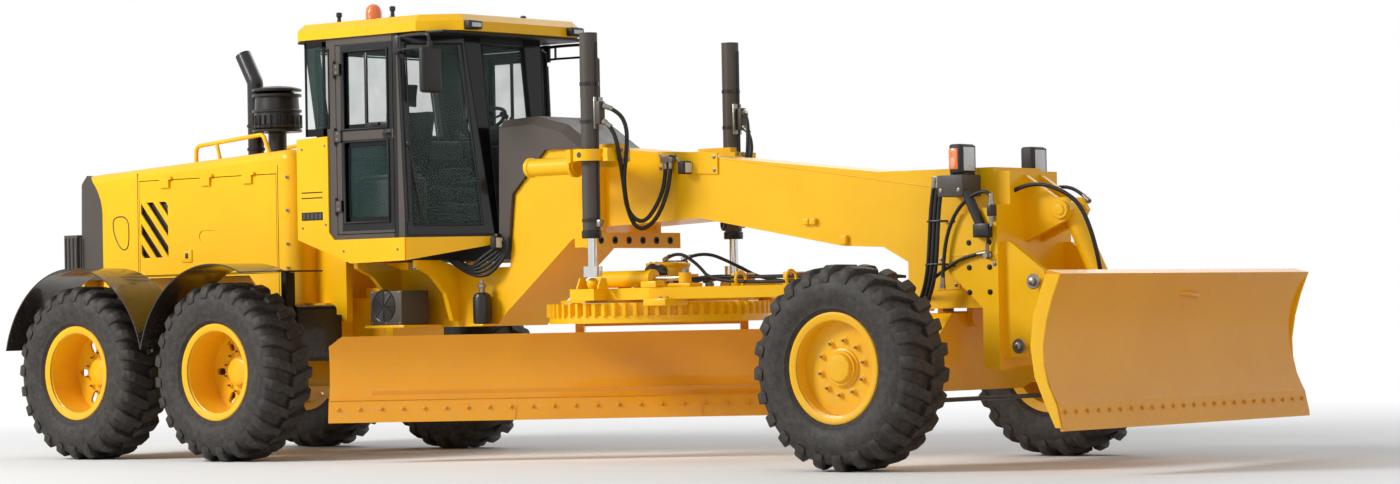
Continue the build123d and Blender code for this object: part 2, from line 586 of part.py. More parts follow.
with BuildPart() as cab_frame:
    add(cab_outside)
    add(cab_inside, mode=Mode.SUBTRACT)
    for side in (-1, 1):
        box(
            (TANDEM_X + 1480, TANDEM_X + 2070),
            sorted((side * (CAB_HALF - 100), side * (CAB_HALF + 20))),
            (1640, 3030),
            Mode.SUBTRACT,
        )
    add(window_cuts.part, mode=Mode.SUBTRACT)
    # floor
    points = [(TANDEM_X + x, -y) for x, y in CAB_PLAN[CAB_FLOOR_Z]]
    points += [(TANDEM_X + x, y) for x, y in reversed(CAB_PLAN[CAB_FLOOR_Z])]
    with BuildSketch(Plane.XY.offset(CAB_FLOOR_Z - 40)):
        with BuildLine():
            Polyline(*points, close=True)
        make_face()
    extrude(amount=60)
    # subframe under the floor, on the mounts
    box((TANDEM_X + 1330, TANDEM_X + 2300), (-560, 560), (1440, 1565))
    # hinge lugs beside the doors
    for side in (-1, 1):
        for hinge_z in DOOR_HINGE_ZS:
            lug_y = sorted((side * CAB_HALF, side * (CAB_HALF + 24)))
            for low in (hinge_z - 62, hinge_z + 40.5):
                box((DOOR_HINGE_X - 12, DOOR_HINGE_X + 12), lug_y, (low, low + 21.5))
save("cab_frame", cab_frame.part)

with BuildPart() as cab_glass:
    add(pane_outside)
    add(pane_inside, mode=Mode.SUBTRACT)
    add(window_cuts.part, mode=Mode.INTERSECT)
save("cab_glass", cab_glass.part)

with BuildPart() as cab_roof:
    with BuildSketch(Plane.XY.offset(CAB_TOP_Z)):
        with BuildLine():
            Polyline(
                (TANDEM_X + 1020, -700), (TANDEM_X + 1120, -825), (TANDEM_X + 2330, -825), (TANDEM_X + 2610, -620),
                (TANDEM_X + 2610, 620), (TANDEM_X + 2330, 825), (TANDEM_X + 1120, 825), (TANDEM_X + 1020, 700),
                close=True,
            )
        make_face()
    extrude(amount=ROOF_T)
    chamfer(cab_roof.faces().sort_by(Axis.Z)[-1].edges(), 50)
save("cab_roof", cab_roof.part)

for name, side in (("right", -1), ("left", 1)):
    y_low, y_high = sorted((side * (CAB_HALF - WALL), side * CAB_HALF))
    with BuildPart() as cab_door:
        box((TANDEM_X + 1480 + GAP, TANDEM_X + 2070 - GAP), (y_low, y_high), (1640 + GAP, 3030 - GAP))
        box((TANDEM_X + 1560, TANDEM_X + 2020), (y_low - 1, y_high + 1), (1720, 2320), Mode.SUBTRACT)
        box((TANDEM_X + 1560, TANDEM_X + 2020), (y_low - 1, y_high + 1), (2400, 2980), Mode.SUBTRACT)
        for hinge_z in DOOR_HINGE_ZS:
            leaf_z = (hinge_z - 40, hinge_z + 40)
            box((DOOR_HINGE_X + 20, DOOR_HINGE_X + 70), sorted((side * CAB_HALF, side * (CAB_HALF + 10))), leaf_z)
            box((DOOR_HINGE_X, DOOR_HINGE_X + 70), sorted((side * (CAB_HALF + 8), side * (CAB_HALF + 16))), leaf_z)
            pin_y = side * (CAB_HALF + 14)
            bar((DOOR_HINGE_X, pin_y, leaf_z[0]), (DOOR_HINGE_X, pin_y, leaf_z[1]), 8)
    save(f"cab_door_{name}", cab_door.part)
    with BuildPart() as door_glass:
        middle = side * (CAB_HALF - WALL / 2)
        for low, high in ((1720, 2320), (2400, 2980)):
            box((TANDEM_X + 1560, TANDEM_X + 2020), (middle - GLASS / 2, middle + GLASS / 2), (low, high))
    save(f"door_glass_{name}", door_glass.part)

# yellow skirt round the cab's foot, up its rear corners and across its back
SKIRT_REAR = TANDEM_X + 1075
with BuildPart() as cab_skirt:
    for side in (-1, 1):
        y_low, y_high = sorted((side * CAB_HALF, side * (CAB_HALF + SHEET)))
        plate(
            (
                (SKIRT_REAR, 2355), (TANDEM_X + 1400, 2365), (TANDEM_X + 1400, 1660), (TANDEM_X + 1455, 1605),
                (TANDEM_X + 2170, 1605), (TANDEM_X + 2170, 1440), (TANDEM_X + 1620, 1430), (TANDEM_X + 1250, 1555),
                (SKIRT_REAR, 1615),
            ),
            y_low, y_high,
        )
        with BuildSketch(slant_plane(side)):
            with BuildLine():
                Polyline((0, -side * 1440), (640, -side * 1545), (640, -side * 1605), (0, -side * 1605), close=True)
            make_face()
        extrude(amount=SHEET)
    box((SKIRT_REAR, SKIRT_REAR + SHEET), (-CAB_HALF - SHEET, CAB_HALF + SHEET), (1615, 2355))
save("cab_skirt", cab_skirt.part)

with BuildPart() as station:
    box((TANDEM_X + 1420, TANDEM_X + 2440), (-240, 240), (1620, 1630))
    # seat
    box((TANDEM_X + 1500, TANDEM_X + 1900), (-180, 180), (1625, 1860))
    box((TANDEM_X + 1450, TANDEM_X + 1980), (-240, 240), (1860, 1990))
    plate(
        ((TANDEM_X + 1400, 1980), (TANDEM_X + 1540, 1980), (TANDEM_X + 1460, 2600), (TANDEM_X + 1360, 2600)), -230, 230
    )
    # steering column and wheel
    plate(
        ((TANDEM_X + 2230, 1625), (TANDEM_X + 2430, 1625), (TANDEM_X + 2340, 2330), (TANDEM_X + 2240, 2300)), -150, 150
    )
    bar((TANDEM_X + 2290, 0, 2290), (TANDEM_X + 2190, 0, 2450), 22)
    with BuildSketch(Plane(origin=(TANDEM_X + 2190, 0, 2450), z_dir=(-0.53, 0, 0.85))):
        Circle(200)
        Circle(175, mode=Mode.SUBTRACT)
        Rectangle(370, 30)
    extrude(amount=22)
save("operator_station", station.part)

with BuildPart() as cowl:
    plate(
        (
            (TANDEM_X + 2620, 1500), (TANDEM_X + 2640, 2440), (TANDEM_X + 2960, 2455), (TANDEM_X + 3260, 2380),
            (TANDEM_X + 3520, 2206.5), (TANDEM_X + 3078, 2206.5), (TANDEM_X + 2754, 1903), (TANDEM_X + 2708, 1500),
        ),
        -300, 300,
    )
    long_edges = cowl.edges().filter_by(lambda e: abs(e.tangent_at(0.5).Y) < 0.1 and e.center().Z > 2230)
    chamfer(long_edges, 60)
save("cowl", cowl.part)

with BuildPart() as mirrors:
    for side in (-1, 1):
        tube(
            (
                (TANDEM_X + 2330, side * 600, CAB_TOP_Z), (TANDEM_X + 2330, side * 600, 3030),
                (TANDEM_X + 2500, side * 860, 3030), (TANDEM_X + 2500, side * 860, 2900),
            ),
            12, 35,
        )
        box((TANDEM_X + 2470, TANDEM_X + 2530), sorted((side * 750, side * 960)), (2620, 2960))
save("mirrors", mirrors.part)

with BuildPart() as lamps:
    for side in (-1, 1):
        box((FRONT_AXLE_X + 180, FRONT_AXLE_X + 380), sorted((side * BEAM_HALF, side * 480)), (1740, 1880))
        box((FRONT_AXLE_X + 260, FRONT_AXLE_X + 390), sorted((side * 320, side * 490)), (1880, 2080))
        box((TANDEM_X + 2610, TANDEM_X + 2680), sorted((side * 480, side * 615)), (3084, 3148))
    beacon = (TANDEM_X + 1150, 0, CAB_TOP_Z + ROOF_T)
    bar(beacon, (beacon[0], 0, beacon[2] + 150), 75)
save("lamps", lamps.part)

# ---------------------------------------------------------------- lift saddle and cylinders
ARM_X = TANDEM_X + 3500
BARREL_R = 62.0
with BuildPart() as saddle:
    for side in (-1, 1):
        box((ARM_X - 120, ARM_X + 120), sorted((side * BEAM_HALF, side * (BEAM_HALF + 60))), (1500, 2150))
        bar((ARM_X, side * (BEAM_HALF + 58), 2078), (LIFT_X - 70, side * (LIFT_Y - 170), LIFT_PIVOT_Z), 70)
        box((LIFT_X - 150, LIFT_X + 150), sorted((side * (LIFT_Y - 200), side * (LIFT_Y - 130))), (2040, 2200))
        bar((LIFT_X - 650, side * (LIFT_Y - 80), 2060), (LIFT_X - 185, side * (LIFT_Y - 80), 2060), BARREL_R)
        for way in (-1, 1):
            box(
                sorted((LIFT_X + way * 150, LIFT_X + way * 190)),
                sorted((side * (LIFT_Y - 200), side * (LIFT_Y + 40))),
                (LIFT_PIVOT_Z - 45, LIFT_PIVOT_Z + 45),
            )
            bar(
                (LIFT_X + way * 149, side * LIFT_Y, LIFT_PIVOT_Z),
                (LIFT_X + way * 191, side * LIFT_Y, LIFT_PIVOT_Z),
                22 + RUN, Mode.SUBTRACT,
            )
    with BuildSketch(Plane.YZ.offset(ARM_X + 120)):
        with Locations((0, 1545)):
            Rectangle(980, 110)
        with Locations((0, 1545)):
            with GridLocations(150, 1, 6, 1):
                Circle(22, mode=Mode.SUBTRACT)
    extrude(amount=45)
save("lift_saddle", saddle.part)

ROD_R = 32.0
YOKE_R = 120.0
CAP_R = 70.0
EYE_BALL_R = 42.0
for name, side in (("right", -1), ("left", 1)):
    lift_y = side * LIFT_Y
    with BuildPart() as yoke:
        with BuildSketch(Plane.XY.offset(LIFT_PIVOT_Z - 40)):
            with Locations((LIFT_X, lift_y)):
                Circle(YOKE_R)
                Circle(BARREL_R + 28, mode=Mode.SUBTRACT)
        extrude(amount=80)
        bar((LIFT_X - 190, lift_y, LIFT_PIVOT_Z), (LIFT_X - YOKE_R + 8, lift_y, LIFT_PIVOT_Z), 22)
        bar((LIFT_X + YOKE_R - 8, lift_y, LIFT_PIVOT_Z), (LIFT_X + 190, lift_y, LIFT_PIVOT_Z), 22)
        bar(
            (LIFT_X, lift_y - YOKE_R - 2, LIFT_PIVOT_Z), (LIFT_X, lift_y + YOKE_R + 2, LIFT_PIVOT_Z),
            20 + RUN, Mode.SUBTRACT,
        )
    save(f"lift_yoke_{name}", yoke.part)

    with BuildPart() as barrel:
        bar((LIFT_X, lift_y, 1570), (LIFT_X, lift_y, LIFT_TOP_Z), BARREL_R)
        bar((LIFT_X, lift_y, 1565), (LIFT_X, lift_y, LIFT_TOP_Z - 60), ROD_R + RUN, Mode.SUBTRACT)
        bar((LIFT_X, lift_y - YOKE_R, LIFT_PIVOT_Z), (LIFT_X, lift_y - BARREL_R + 6, LIFT_PIVOT_Z), 20)
        bar((LIFT_X, lift_y + BARREL_R - 6, LIFT_PIVOT_Z), (LIFT_X, lift_y + YOKE_R, LIFT_PIVOT_Z), 20)
    save(f"lift_barrel_{name}", barrel.part)

    with BuildPart() as rod:
        bar((LIFT_X, lift_y, LIFT_EYE_Z + 60), (LIFT_X, lift_y, 2700), ROD_R)
        bar((LIFT_X, lift_y, LIFT_EYE_Z + 48), (LIFT_X, lift_y, LIFT_EYE_Z + 120), CAP_R)
    save(f"lift_rod_{name}", rod.part)

# ---------------------------------------------------------------- drawbar, circle, blade
DRAWBAR_Z = (1120.0, 1200.0)
with BuildPart() as drawbar_ball:
    # ring between the ball and the drawbar's socket
    with BuildSketch(Plane.YZ.offset(BALL_X - 55)):
        with Locations((0, BALL_Z)):
            Circle(90)
    extrude(amount=75)
    with Locations((BALL_X, 0, BALL_Z)):
        Sphere(60.3, mode=Mode.SUBTRACT)
    # grease holes, above and below
    bar((BALL_X, 0, BALL_Z - 95), (BALL_X, 0, BALL_Z + 95), 8, Mode.SUBTRACT)
    bar((BALL_X, -110, BALL_Z), (BALL_X, -80, BALL_Z), 30)
    bar((BALL_X, 80, BALL_Z), (BALL_X, 110, BALL_Z), 30)
save("drawbar_ball", drawbar_ball.part)

with BuildPart() as drawbar:
    for side in (-1, 1):
        # fork cheeks at the ball, then legs spreading to the circle
        box((BALL_X - 190, BALL_X + 45), sorted((side * 92, side * 140)), (BALL_Z - 45, BALL_Z + 45))
        with BuildSketch(Plane.XY.offset(DRAWBAR_Z[0])):
            with BuildLine():
                Polyline(
                    (BALL_X - 100, side * 92), (BALL_X - 100, side * 140), (CIRCLE_X + 500, side * 700),
                    (CIRCLE_X - 100, side * 700), (CIRCLE_X - 100, side * 590), (CIRCLE_X + 450, side * 590), close=True,
                )
            make_face()
        extrude(amount=DRAWBAR_Z[1] - DRAWBAR_Z[0])
        box((BALL_X - 190, BALL_X - 95), sorted((side * 92, side * 140)), (BALL_Z - 45, DRAWBAR_Z[1]))
        bar((BALL_X, side * 91, BALL_Z), (BALL_X, side * 141, BALL_Z), 30 + RUN, Mode.SUBTRACT)
        bar((LIFT_X, side * LIFT_Y, DRAWBAR_Z[0]), (LIFT_X, side * LIFT_Y, LIFT_EYE_Z), 25)
        with Locations((LIFT_X, side * LIFT_Y, LIFT_EYE_Z)):
            Sphere(EYE_BALL_R)
    box((BALL_X - 190, BALL_X - 110), (-92, 92), (BALL_Z - 45, DRAWBAR_Z[1]))
    box((CIRCLE_X - 100, CIRCLE_X + 120), (-840, 840), DRAWBAR_Z)
    box((CIRCLE_X + 420, CIRCLE_X + 520), (-590, 590), DRAWBAR_Z)
    # guide plate over the circle
    with BuildSketch(Plane.XY.offset(CIRCLE_Z[1] + 5)):
        with Locations((CIRCLE_X, 0)):
            Circle(700)
            Circle(560, mode=Mode.SUBTRACT)
    extrude(amount=DRAWBAR_Z[0] - CIRCLE_Z[1])
    # hub that the circle turns on
    for angle in (45, 135, 225, 315):
        shoe = (CIRCLE_X + 590 * cos(radians(angle)), 590 * sin(radians(angle)))
        bar((*shoe, CIRCLE_Z[0] - 5), (*shoe, CIRCLE_Z[1] + 10), 34.7)
    # circle drive housing
    bar((CIRCLE_X + 80, 0, DRAWBAR_Z[1]), (CIRCLE_X + 80, 0, DRAWBAR_Z[1] + 160), 150)
    twin_plate(((CIRCLE_X - 60, 1200), (CIRCLE_X + 40, 1200), (CIRCLE_X + 40, 1300), (CIRCLE_X - 60, 1300)), 350, 380)
save("drawbar", drawbar.part)

with BuildPart() as circle:
    with BuildSketch(BLADE_TOP.offset(CIRCLE_Z[0])):
        Circle(CIRCLE_R - 35)
        with PolarLocations(CIRCLE_R - 36, TEETH):
            Trapezoid(56, 72, 78, rotation=-90)
        Circle(625, mode=Mode.SUBTRACT)
    extrude(amount=CIRCLE_Z[1] - CIRCLE_Z[0])
    # arms down to the blade
    twin_plate(
        ((-660, CIRCLE_Z[0]), (-320, CIRCLE_Z[0]), (-330, 720), (-320, 350), (-400, 350), (-480, 700)),
        560, 620, BLADE_SIDE,
    )
    plate(((-660, 940), (-600, 940), (-600, CIRCLE_Z[0]), (-660, CIRCLE_Z[0])), -560, 560, BLADE_SIDE)
    with BuildSketch(BLADE_SIDE.offset(-650)):
        with Locations(TIP_PIN):
            Circle(TIP_PIN_R + RUN)
    extrude(amount=1300, mode=Mode.SUBTRACT)
save("circle", circle.part)

JAW_ZS = ((445, 469.5), (510.5, 535), (775, 799.5), (840.5, 865))
with BuildPart() as cradle:
    twin_plate(
        ((-400, 360), (-270, 360), (-215, 430), (-235, 880), (-290, 880), (-300, 480), (-400, 450)),
        626, 680, BLADE_SIDE,
    )
    # jaws round the blade's rails
    for low, high in JAW_ZS:
        twin_plate(((-245, low), (-176, low), (-176, high), (-245, high)), 626, 680, BLADE_SIDE)
    for side in (-1, 1):
        with BuildSketch(BLADE_SIDE.offset(side * 550)):
            with Locations(TIP_PIN):
                Circle(TIP_PIN_R)
        extrude(amount=side * 130)
    plate(((-265, 640), (-235, 640), (-235, 700), (-265, 700)), -630, 630, BLADE_SIDE)
save("blade_cradle", cradle.part)

BLADE_TOP_Z = 900.0
BLADE_LOW_Z = 400.0
EDGE_Z = 290.0
BLADE_CLIP = (100.0, 70.0)  # corners cut off its upper ends, along and down
with BuildPart() as moldboard:
    ends = (BLADE_SHIFT - BLADE_LENGTH / 2, BLADE_SHIFT + BLADE_LENGTH / 2)
    with BuildSketch(BLADE_SIDE.offset(-ends[0])):
        with BuildLine():
            ThreePointArc((-60, BLADE_LOW_Z), (-150, 640), (-75, BLADE_TOP_Z))
            Line((-75, BLADE_TOP_Z), (-97, BLADE_TOP_Z))
            ThreePointArc((-97, BLADE_TOP_Z), (-172, 640), (-82, BLADE_LOW_Z))
            Line((-82, BLADE_LOW_Z), (-60, BLADE_LOW_Z))
        make_face()
    extrude(amount=-BLADE_LENGTH)
    # cutting edge
    plate(
        ((-82, BLADE_LOW_Z), (-20, EDGE_Z), (-2, EDGE_Z), (-52, BLADE_LOW_Z + 45), (-66, BLADE_LOW_Z + 30)),
        ends[0], ends[1], BLADE_SIDE,
    )
    # clipped upper corners
    for end, way in zip(ends, (1, -1)):
        with BuildSketch(BLADE_FACE.offset(-260)):
            with BuildLine():
                Polyline(
                    (end - way, BLADE_TOP_Z + 1), (end + way * BLADE_CLIP[0], BLADE_TOP_Z + 1),
                    (end - way, BLADE_TOP_Z - BLADE_CLIP[1]), close=True,
                )
            make_face()
        extrude(amount=300, mode=Mode.SUBTRACT)
    # slide rails on the back
    plate(((-210, 800), (-130, 800), (-130, 840), (-210, 840)), ends[0] + 300, ends[1] - 300, BLADE_SIDE)
    plate(((-205, 470), (-110, 470), (-110, 510), (-205, 510)), ends[0] + 300, ends[1] - 300, BLADE_SIDE)
save("moldboard", moldboard.part)

# ---------------------------------------------------------------- front axle
with BuildPart() as front_axle:
    with BuildSketch(Plane.YZ.offset(FRONT_AXLE_X - 90)):
        with BuildLine():
            Polyline(
                (-700, 520), (-700, 690), (-420, 800), (-220, 990), (220, 990), (420, 800), (700, 690), (700, 520),
                (560, 480), (-560, 480), close=True,
            )
        make_face()
    extrude(amount=180)
    box((FRONT_AXLE_X - 100, FRONT_AXLE_X + 100), (-70, 70), (890, 1000), Mode.SUBTRACT)
    box((FRONT_AXLE_X - 90, FRONT_AXLE_X + 90), (-70, 70), (880, 1000))
    bar((FRONT_AXLE_X - 100, 0, 945), (FRONT_AXLE_X + 100, 0, 945), 30 + RUN, Mode.SUBTRACT)
    for side in (-1, 1):
        box((FRONT_AXLE_X - 55, FRONT_AXLE_X + 55), sorted((side * 695, side * LEAN_Y)), (LEAN_Z - 50, LEAN_Z + 50))
        bar((FRONT_AXLE_X - 55, side * LEAN_Y, LEAN_Z), (FRONT_AXLE_X + 55, side * LEAN_Y, LEAN_Z), 50)
        bar(
            (FRONT_AXLE_X - 56, side * LEAN_Y, LEAN_Z), (FRONT_AXLE_X + 56, side * LEAN_Y, LEAN_Z),
            25 + RUN, Mode.SUBTRACT,
        )
save("front_axle", front_axle.part)

LUG_R = 60.0
KNUCKLE_Z = (560.0, 800.0)
STEER_ARM_Z = (466.0, 506.0)  # steering arm of a knuckle
STEER_BALL_R = 22.7
STEM_R = 12.0
EYE_T = 16.0  # half thickness of the tie rod's eyes
EYE_SLOT = 18.0  # length that the left eye gives
for name, side in (("right", -1), ("left", 1)):
    lean_y, king_y = side * LEAN_Y, side * KING_Y
    with BuildPart() as lean_bracket:
        for way in (-1, 1):
            x_low, x_high = sorted((FRONT_AXLE_X + way * 60, FRONT_AXLE_X + way * 90))
            with BuildSketch(Plane.YZ.offset(x_low)):
                with BuildLine():
                    Polyline(
                        (side * 745, LEAN_Z - 45), (side * 745, 640), (side * 755, LEAN_BAR_Z - 10),
                        (side * 775, LEAN_BAR_Z + 35), (side * 830, LEAN_BAR_Z + 35), (side * 880, 850),
                        (side * 880, 515), (side * 790, 515), close=True,
                    )
                make_face()
            extrude(amount=30)
        box((FRONT_AXLE_X - 90, FRONT_AXLE_X + 90), sorted((side * 870, side * 905)), (510, 850))
        for low in (510, 805):
            box((FRONT_AXLE_X - LUG_R, FRONT_AXLE_X + LUG_R), sorted((side * 900, king_y)), (low, low + 45))
            bar((FRONT_AXLE_X, king_y, low), (FRONT_AXLE_X, king_y, low + 45), LUG_R)
            bar((FRONT_AXLE_X, king_y, low - 1), (FRONT_AXLE_X, king_y, low + 46), 28 + RUN, Mode.SUBTRACT)
        bar((FRONT_AXLE_X - 90, lean_y, LEAN_Z), (FRONT_AXLE_X + 90, lean_y, LEAN_Z), 25)
        # pin for the lean bar, on the rear cheek
        bar((FRONT_AXLE_X - 150, lean_y, LEAN_BAR_Z), (FRONT_AXLE_X - 90, lean_y, LEAN_BAR_Z), 18)
    save(f"lean_bracket_{name}", lean_bracket.part)

    with BuildPart() as knuckle:
        bar((FRONT_AXLE_X, king_y, KNUCKLE_Z[0]), (FRONT_AXLE_X, king_y, KNUCKLE_Z[1]), 55)
        bar((FRONT_AXLE_X, king_y, 455), (FRONT_AXLE_X, king_y, 850), 28)
        bar((FRONT_AXLE_X, king_y, TYRE_R), (FRONT_AXLE_X, side * (TRACK / 2 - 22), TYRE_R), 75)
        bar((FRONT_AXLE_X, king_y, TYRE_R), (FRONT_AXLE_X, side * (TRACK / 2 + 80), TYRE_R), SPINDLE_R)
        box((FRONT_AXLE_X - 40, STEER_X + 30), sorted((king_y - 30, king_y + 30)), STEER_ARM_Z)
        if side == 1:
            bar((STEER_X, king_y, STEER_Z), (STEER_X, king_y, STEER_ARM_Z[0] + 10), STEM_R)
            with Locations((STEER_X, king_y, STEER_Z)):
                Sphere(STEER_BALL_R)
        else:
            bar((STEER_X, king_y, 457), (STEER_X, king_y, 511), STEM_R + RUN, Mode.SUBTRACT)
    save(f"knuckle_{name}", knuckle.part)

with BuildPart() as lean_bar:
    bar((FRONT_AXLE_X - 122, -LEAN_Y, LEAN_BAR_Z), (FRONT_AXLE_X - 122, LEAN_Y, LEAN_BAR_Z), 17)
    for side in (-1, 1):
        bar((FRONT_AXLE_X - 144, side * LEAN_Y, LEAN_BAR_Z), (FRONT_AXLE_X - 98, side * LEAN_Y, LEAN_BAR_Z), 32)
        bar(
            (FRONT_AXLE_X - 145, side * LEAN_Y, LEAN_BAR_Z), (FRONT_AXLE_X - 97, side * LEAN_Y, LEAN_BAR_Z),
            18 + RUN, Mode.SUBTRACT,
        )
save("lean_bar", lean_bar.part)

with BuildPart() as tie_rod_ball:
    bar((STEER_X, -KING_Y, STEER_Z), (STEER_X, -KING_Y, STEER_ARM_Z[1] + 5), STEM_R)
    with Locations((STEER_X, -KING_Y, STEER_Z)):
        Sphere(STEER_BALL_R)
save("tie_rod_ball", tie_rod_ball.part)

with BuildPart() as tie_rod:
    bar((STEER_X, -KING_Y, STEER_Z), (STEER_X, KING_Y - EYE_SLOT, STEER_Z), 15)
    # the left eye is a slot, because the balls come nearer to each other as the wheels lean
    for eye_y in (-KING_Y, KING_Y, KING_Y - EYE_SLOT):
        bar((STEER_X, eye_y, STEER_Z - EYE_T), (STEER_X, eye_y, STEER_Z + EYE_T), STEER_BALL_R + 13)
    box((STEER_X - 35, STEER_X + 35), (KING_Y - EYE_SLOT, KING_Y), (STEER_Z - EYE_T, STEER_Z + EYE_T))
    for eye_y in (-KING_Y, KING_Y, KING_Y - EYE_SLOT):
        eye_z = (STEER_Z - EYE_T - 1, STEER_Z + EYE_T + 1)
        bar((STEER_X, eye_y, eye_z[0]), (STEER_X, eye_y, eye_z[1]), STEER_BALL_R + 0.3, Mode.SUBTRACT)
    box((STEER_X - 23, STEER_X + 23), (KING_Y - EYE_SLOT, KING_Y), eye_z, Mode.SUBTRACT)
    # grease hole across the right eye
    bar((STEER_X - 40, -KING_Y, STEER_Z), (STEER_X + 40, -KING_Y, STEER_Z), 4, Mode.SUBTRACT)
save("tie_rod", tie_rod.part)

# ---------------------------------------------------------------- dozer blade in front
LINK_FRONT = [(x + LINK_SPAN[0], z + LINK_SPAN[1]) for x, z in LINK_REAR]
for name, rear, front in (("lower", LINK_REAR[0], LINK_FRONT[0]), ("upper", LINK_REAR[1], LINK_FRONT[1])):
    with BuildPart() as link:
        for side in (-1, 1):
            run = Vector(front[0] - rear[0], 0, front[1] - rear[1])
            for eye_x, eye_z in (rear, front):
                bar((eye_x, side * 250, eye_z), (eye_x, side * 320, eye_z), 52)
            normal = Vector(-run.Z, 0, run.X).normalized() * 35
            plate(
                (
                    (rear[0] + normal.X, rear[1] + normal.Z), (front[0] + normal.X, front[1] + normal.Z),
                    (front[0] - normal.X, front[1] - normal.Z), (rear[0] - normal.X, rear[1] - normal.Z),
                ),
                *sorted((side * 260, side * 310)),
            )
            for eye_x, eye_z in (rear, front):
                bar((eye_x, side * 249, eye_z), (eye_x, side * 321, eye_z), 28 + RUN, Mode.SUBTRACT)
        if name == "lower":
            cross = rear[0] + 0.5 * LINK_SPAN[0]
            box((cross - 30, cross + 30), (-262, 262), (rear[1] - 100, rear[1] - 50))
    save(f"dozer_link_{name}", link.part)

DOZER_Z = (270.0, 1215.0)
with BuildPart() as dozer_blade:
    with BuildSketch(Plane.XZ.offset(DOZER_HALF)):
        with BuildLine():
            Line((DOZER_X, DOZER_Z[1]), (DOZER_X - 110, DOZER_Z[1] + 25))
            Line((DOZER_X - 110, DOZER_Z[1] + 25), (DOZER_X - 116, DOZER_Z[1] + 5))
            Line((DOZER_X - 116, DOZER_Z[1] + 5), (DOZER_X - 27, DOZER_Z[1] - 16))
            ThreePointArc((DOZER_X - 27, DOZER_Z[1] - 16), (DOZER_X - 172, 780), (DOZER_X - 70, 430))
            Polyline((DOZER_X - 70, 430), (DOZER_X - 35, DOZER_Z[0]), (DOZER_X - 15, DOZER_Z[0]), (DOZER_X - 48, 435))
            ThreePointArc((DOZER_X - 48, 435), (DOZER_X - 150, 780), (DOZER_X, DOZER_Z[1]))
        make_face()
    extrude(amount=-2 * DOZER_HALF)
    # brackets that take the links' front pins
    for low in (200, 325):
        twin_plate(
            (
                (LINK_FRONT[0][0] - 45, LINK_FRONT[0][1] - 55), (DOZER_X - 110, 480), (DOZER_X - 165, 800),
                (DOZER_X - 110, 1120), (LINK_FRONT[1][0] - 20, LINK_FRONT[1][1] + 60),
                (LINK_FRONT[1][0] - 60, LINK_FRONT[1][1]), (LINK_FRONT[0][0] - 60, LINK_FRONT[0][1]),
            ),
            low, low + 40,
        )
    for pin_x, pin_z in LINK_FRONT:
        for side in (-1, 1):
            bar((pin_x, side * 200, pin_z), (pin_x, side * 365, pin_z), 28)
    # cheeks for the cylinder
    twin_plate(
        (
            (DOZER_EYES[1][0] - 50, DOZER_EYES[1][1] - 50), (DOZER_X - 150, 600), (DOZER_X - 165, 850),
            (DOZER_EYES[1][0] + 10, DOZER_EYES[1][1] + 60), (DOZER_EYES[1][0] - 50, DOZER_EYES[1][1] + 40),
        ),
        80, 115,
    )
save("dozer_blade", dozer_blade.part)

RUN_X = DOZER_EYES[1][0] - DOZER_EYES[0][0]
RUN_Z = DOZER_EYES[1][1] - DOZER_EYES[0][1]
SPAN = (RUN_X**2 + RUN_Z**2) ** 0.5
UNIT = (RUN_X / SPAN, RUN_Z / SPAN)


def along(distance):
    """A point on the dozer cylinder's axis, measured from its upper eye."""
    return (DOZER_EYES[0][0] + UNIT[0] * distance, 0, DOZER_EYES[0][1] + UNIT[1] * distance)


with BuildPart() as dozer_barrel:
    bar((DOZER_EYES[0][0], -60, DOZER_EYES[0][1]), (DOZER_EYES[0][0], 60, DOZER_EYES[0][1]), 55)
    bar(along(30), along(640), 62)
    bar(along(110), along(641), 32 + RUN, Mode.SUBTRACT)
    bar((DOZER_EYES[0][0], -70, DOZER_EYES[0][1]), (DOZER_EYES[0][0], 70, DOZER_EYES[0][1]), 28 + RUN, Mode.SUBTRACT)
save("dozer_barrel", dozer_barrel.part)

with BuildPart() as dozer_rod:
    bar(along(300), along(SPAN - 30), 32)
    bar((DOZER_EYES[1][0], -50, DOZER_EYES[1][1]), (DOZER_EYES[1][0], 50, DOZER_EYES[1][1]), 52)
save("dozer_rod", dozer_rod.part)
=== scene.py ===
# %% [markdown]
# A motor grader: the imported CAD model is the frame, and this notebook dresses it. It gives each
# steel, rubber, glass and plastic surface a procedural finish, and adds what is too fine for CAD:
# tyre tread, bolts, hoses, lamp lenses, seat, grilles and trim.
# Everything is in metres, +X is forward, +Y is the operator's left and +Z is up.

# %% Load the frame
import bpy
import json
from math import cos, pi, radians, sin, sqrt
from mathutils import Matrix, Vector


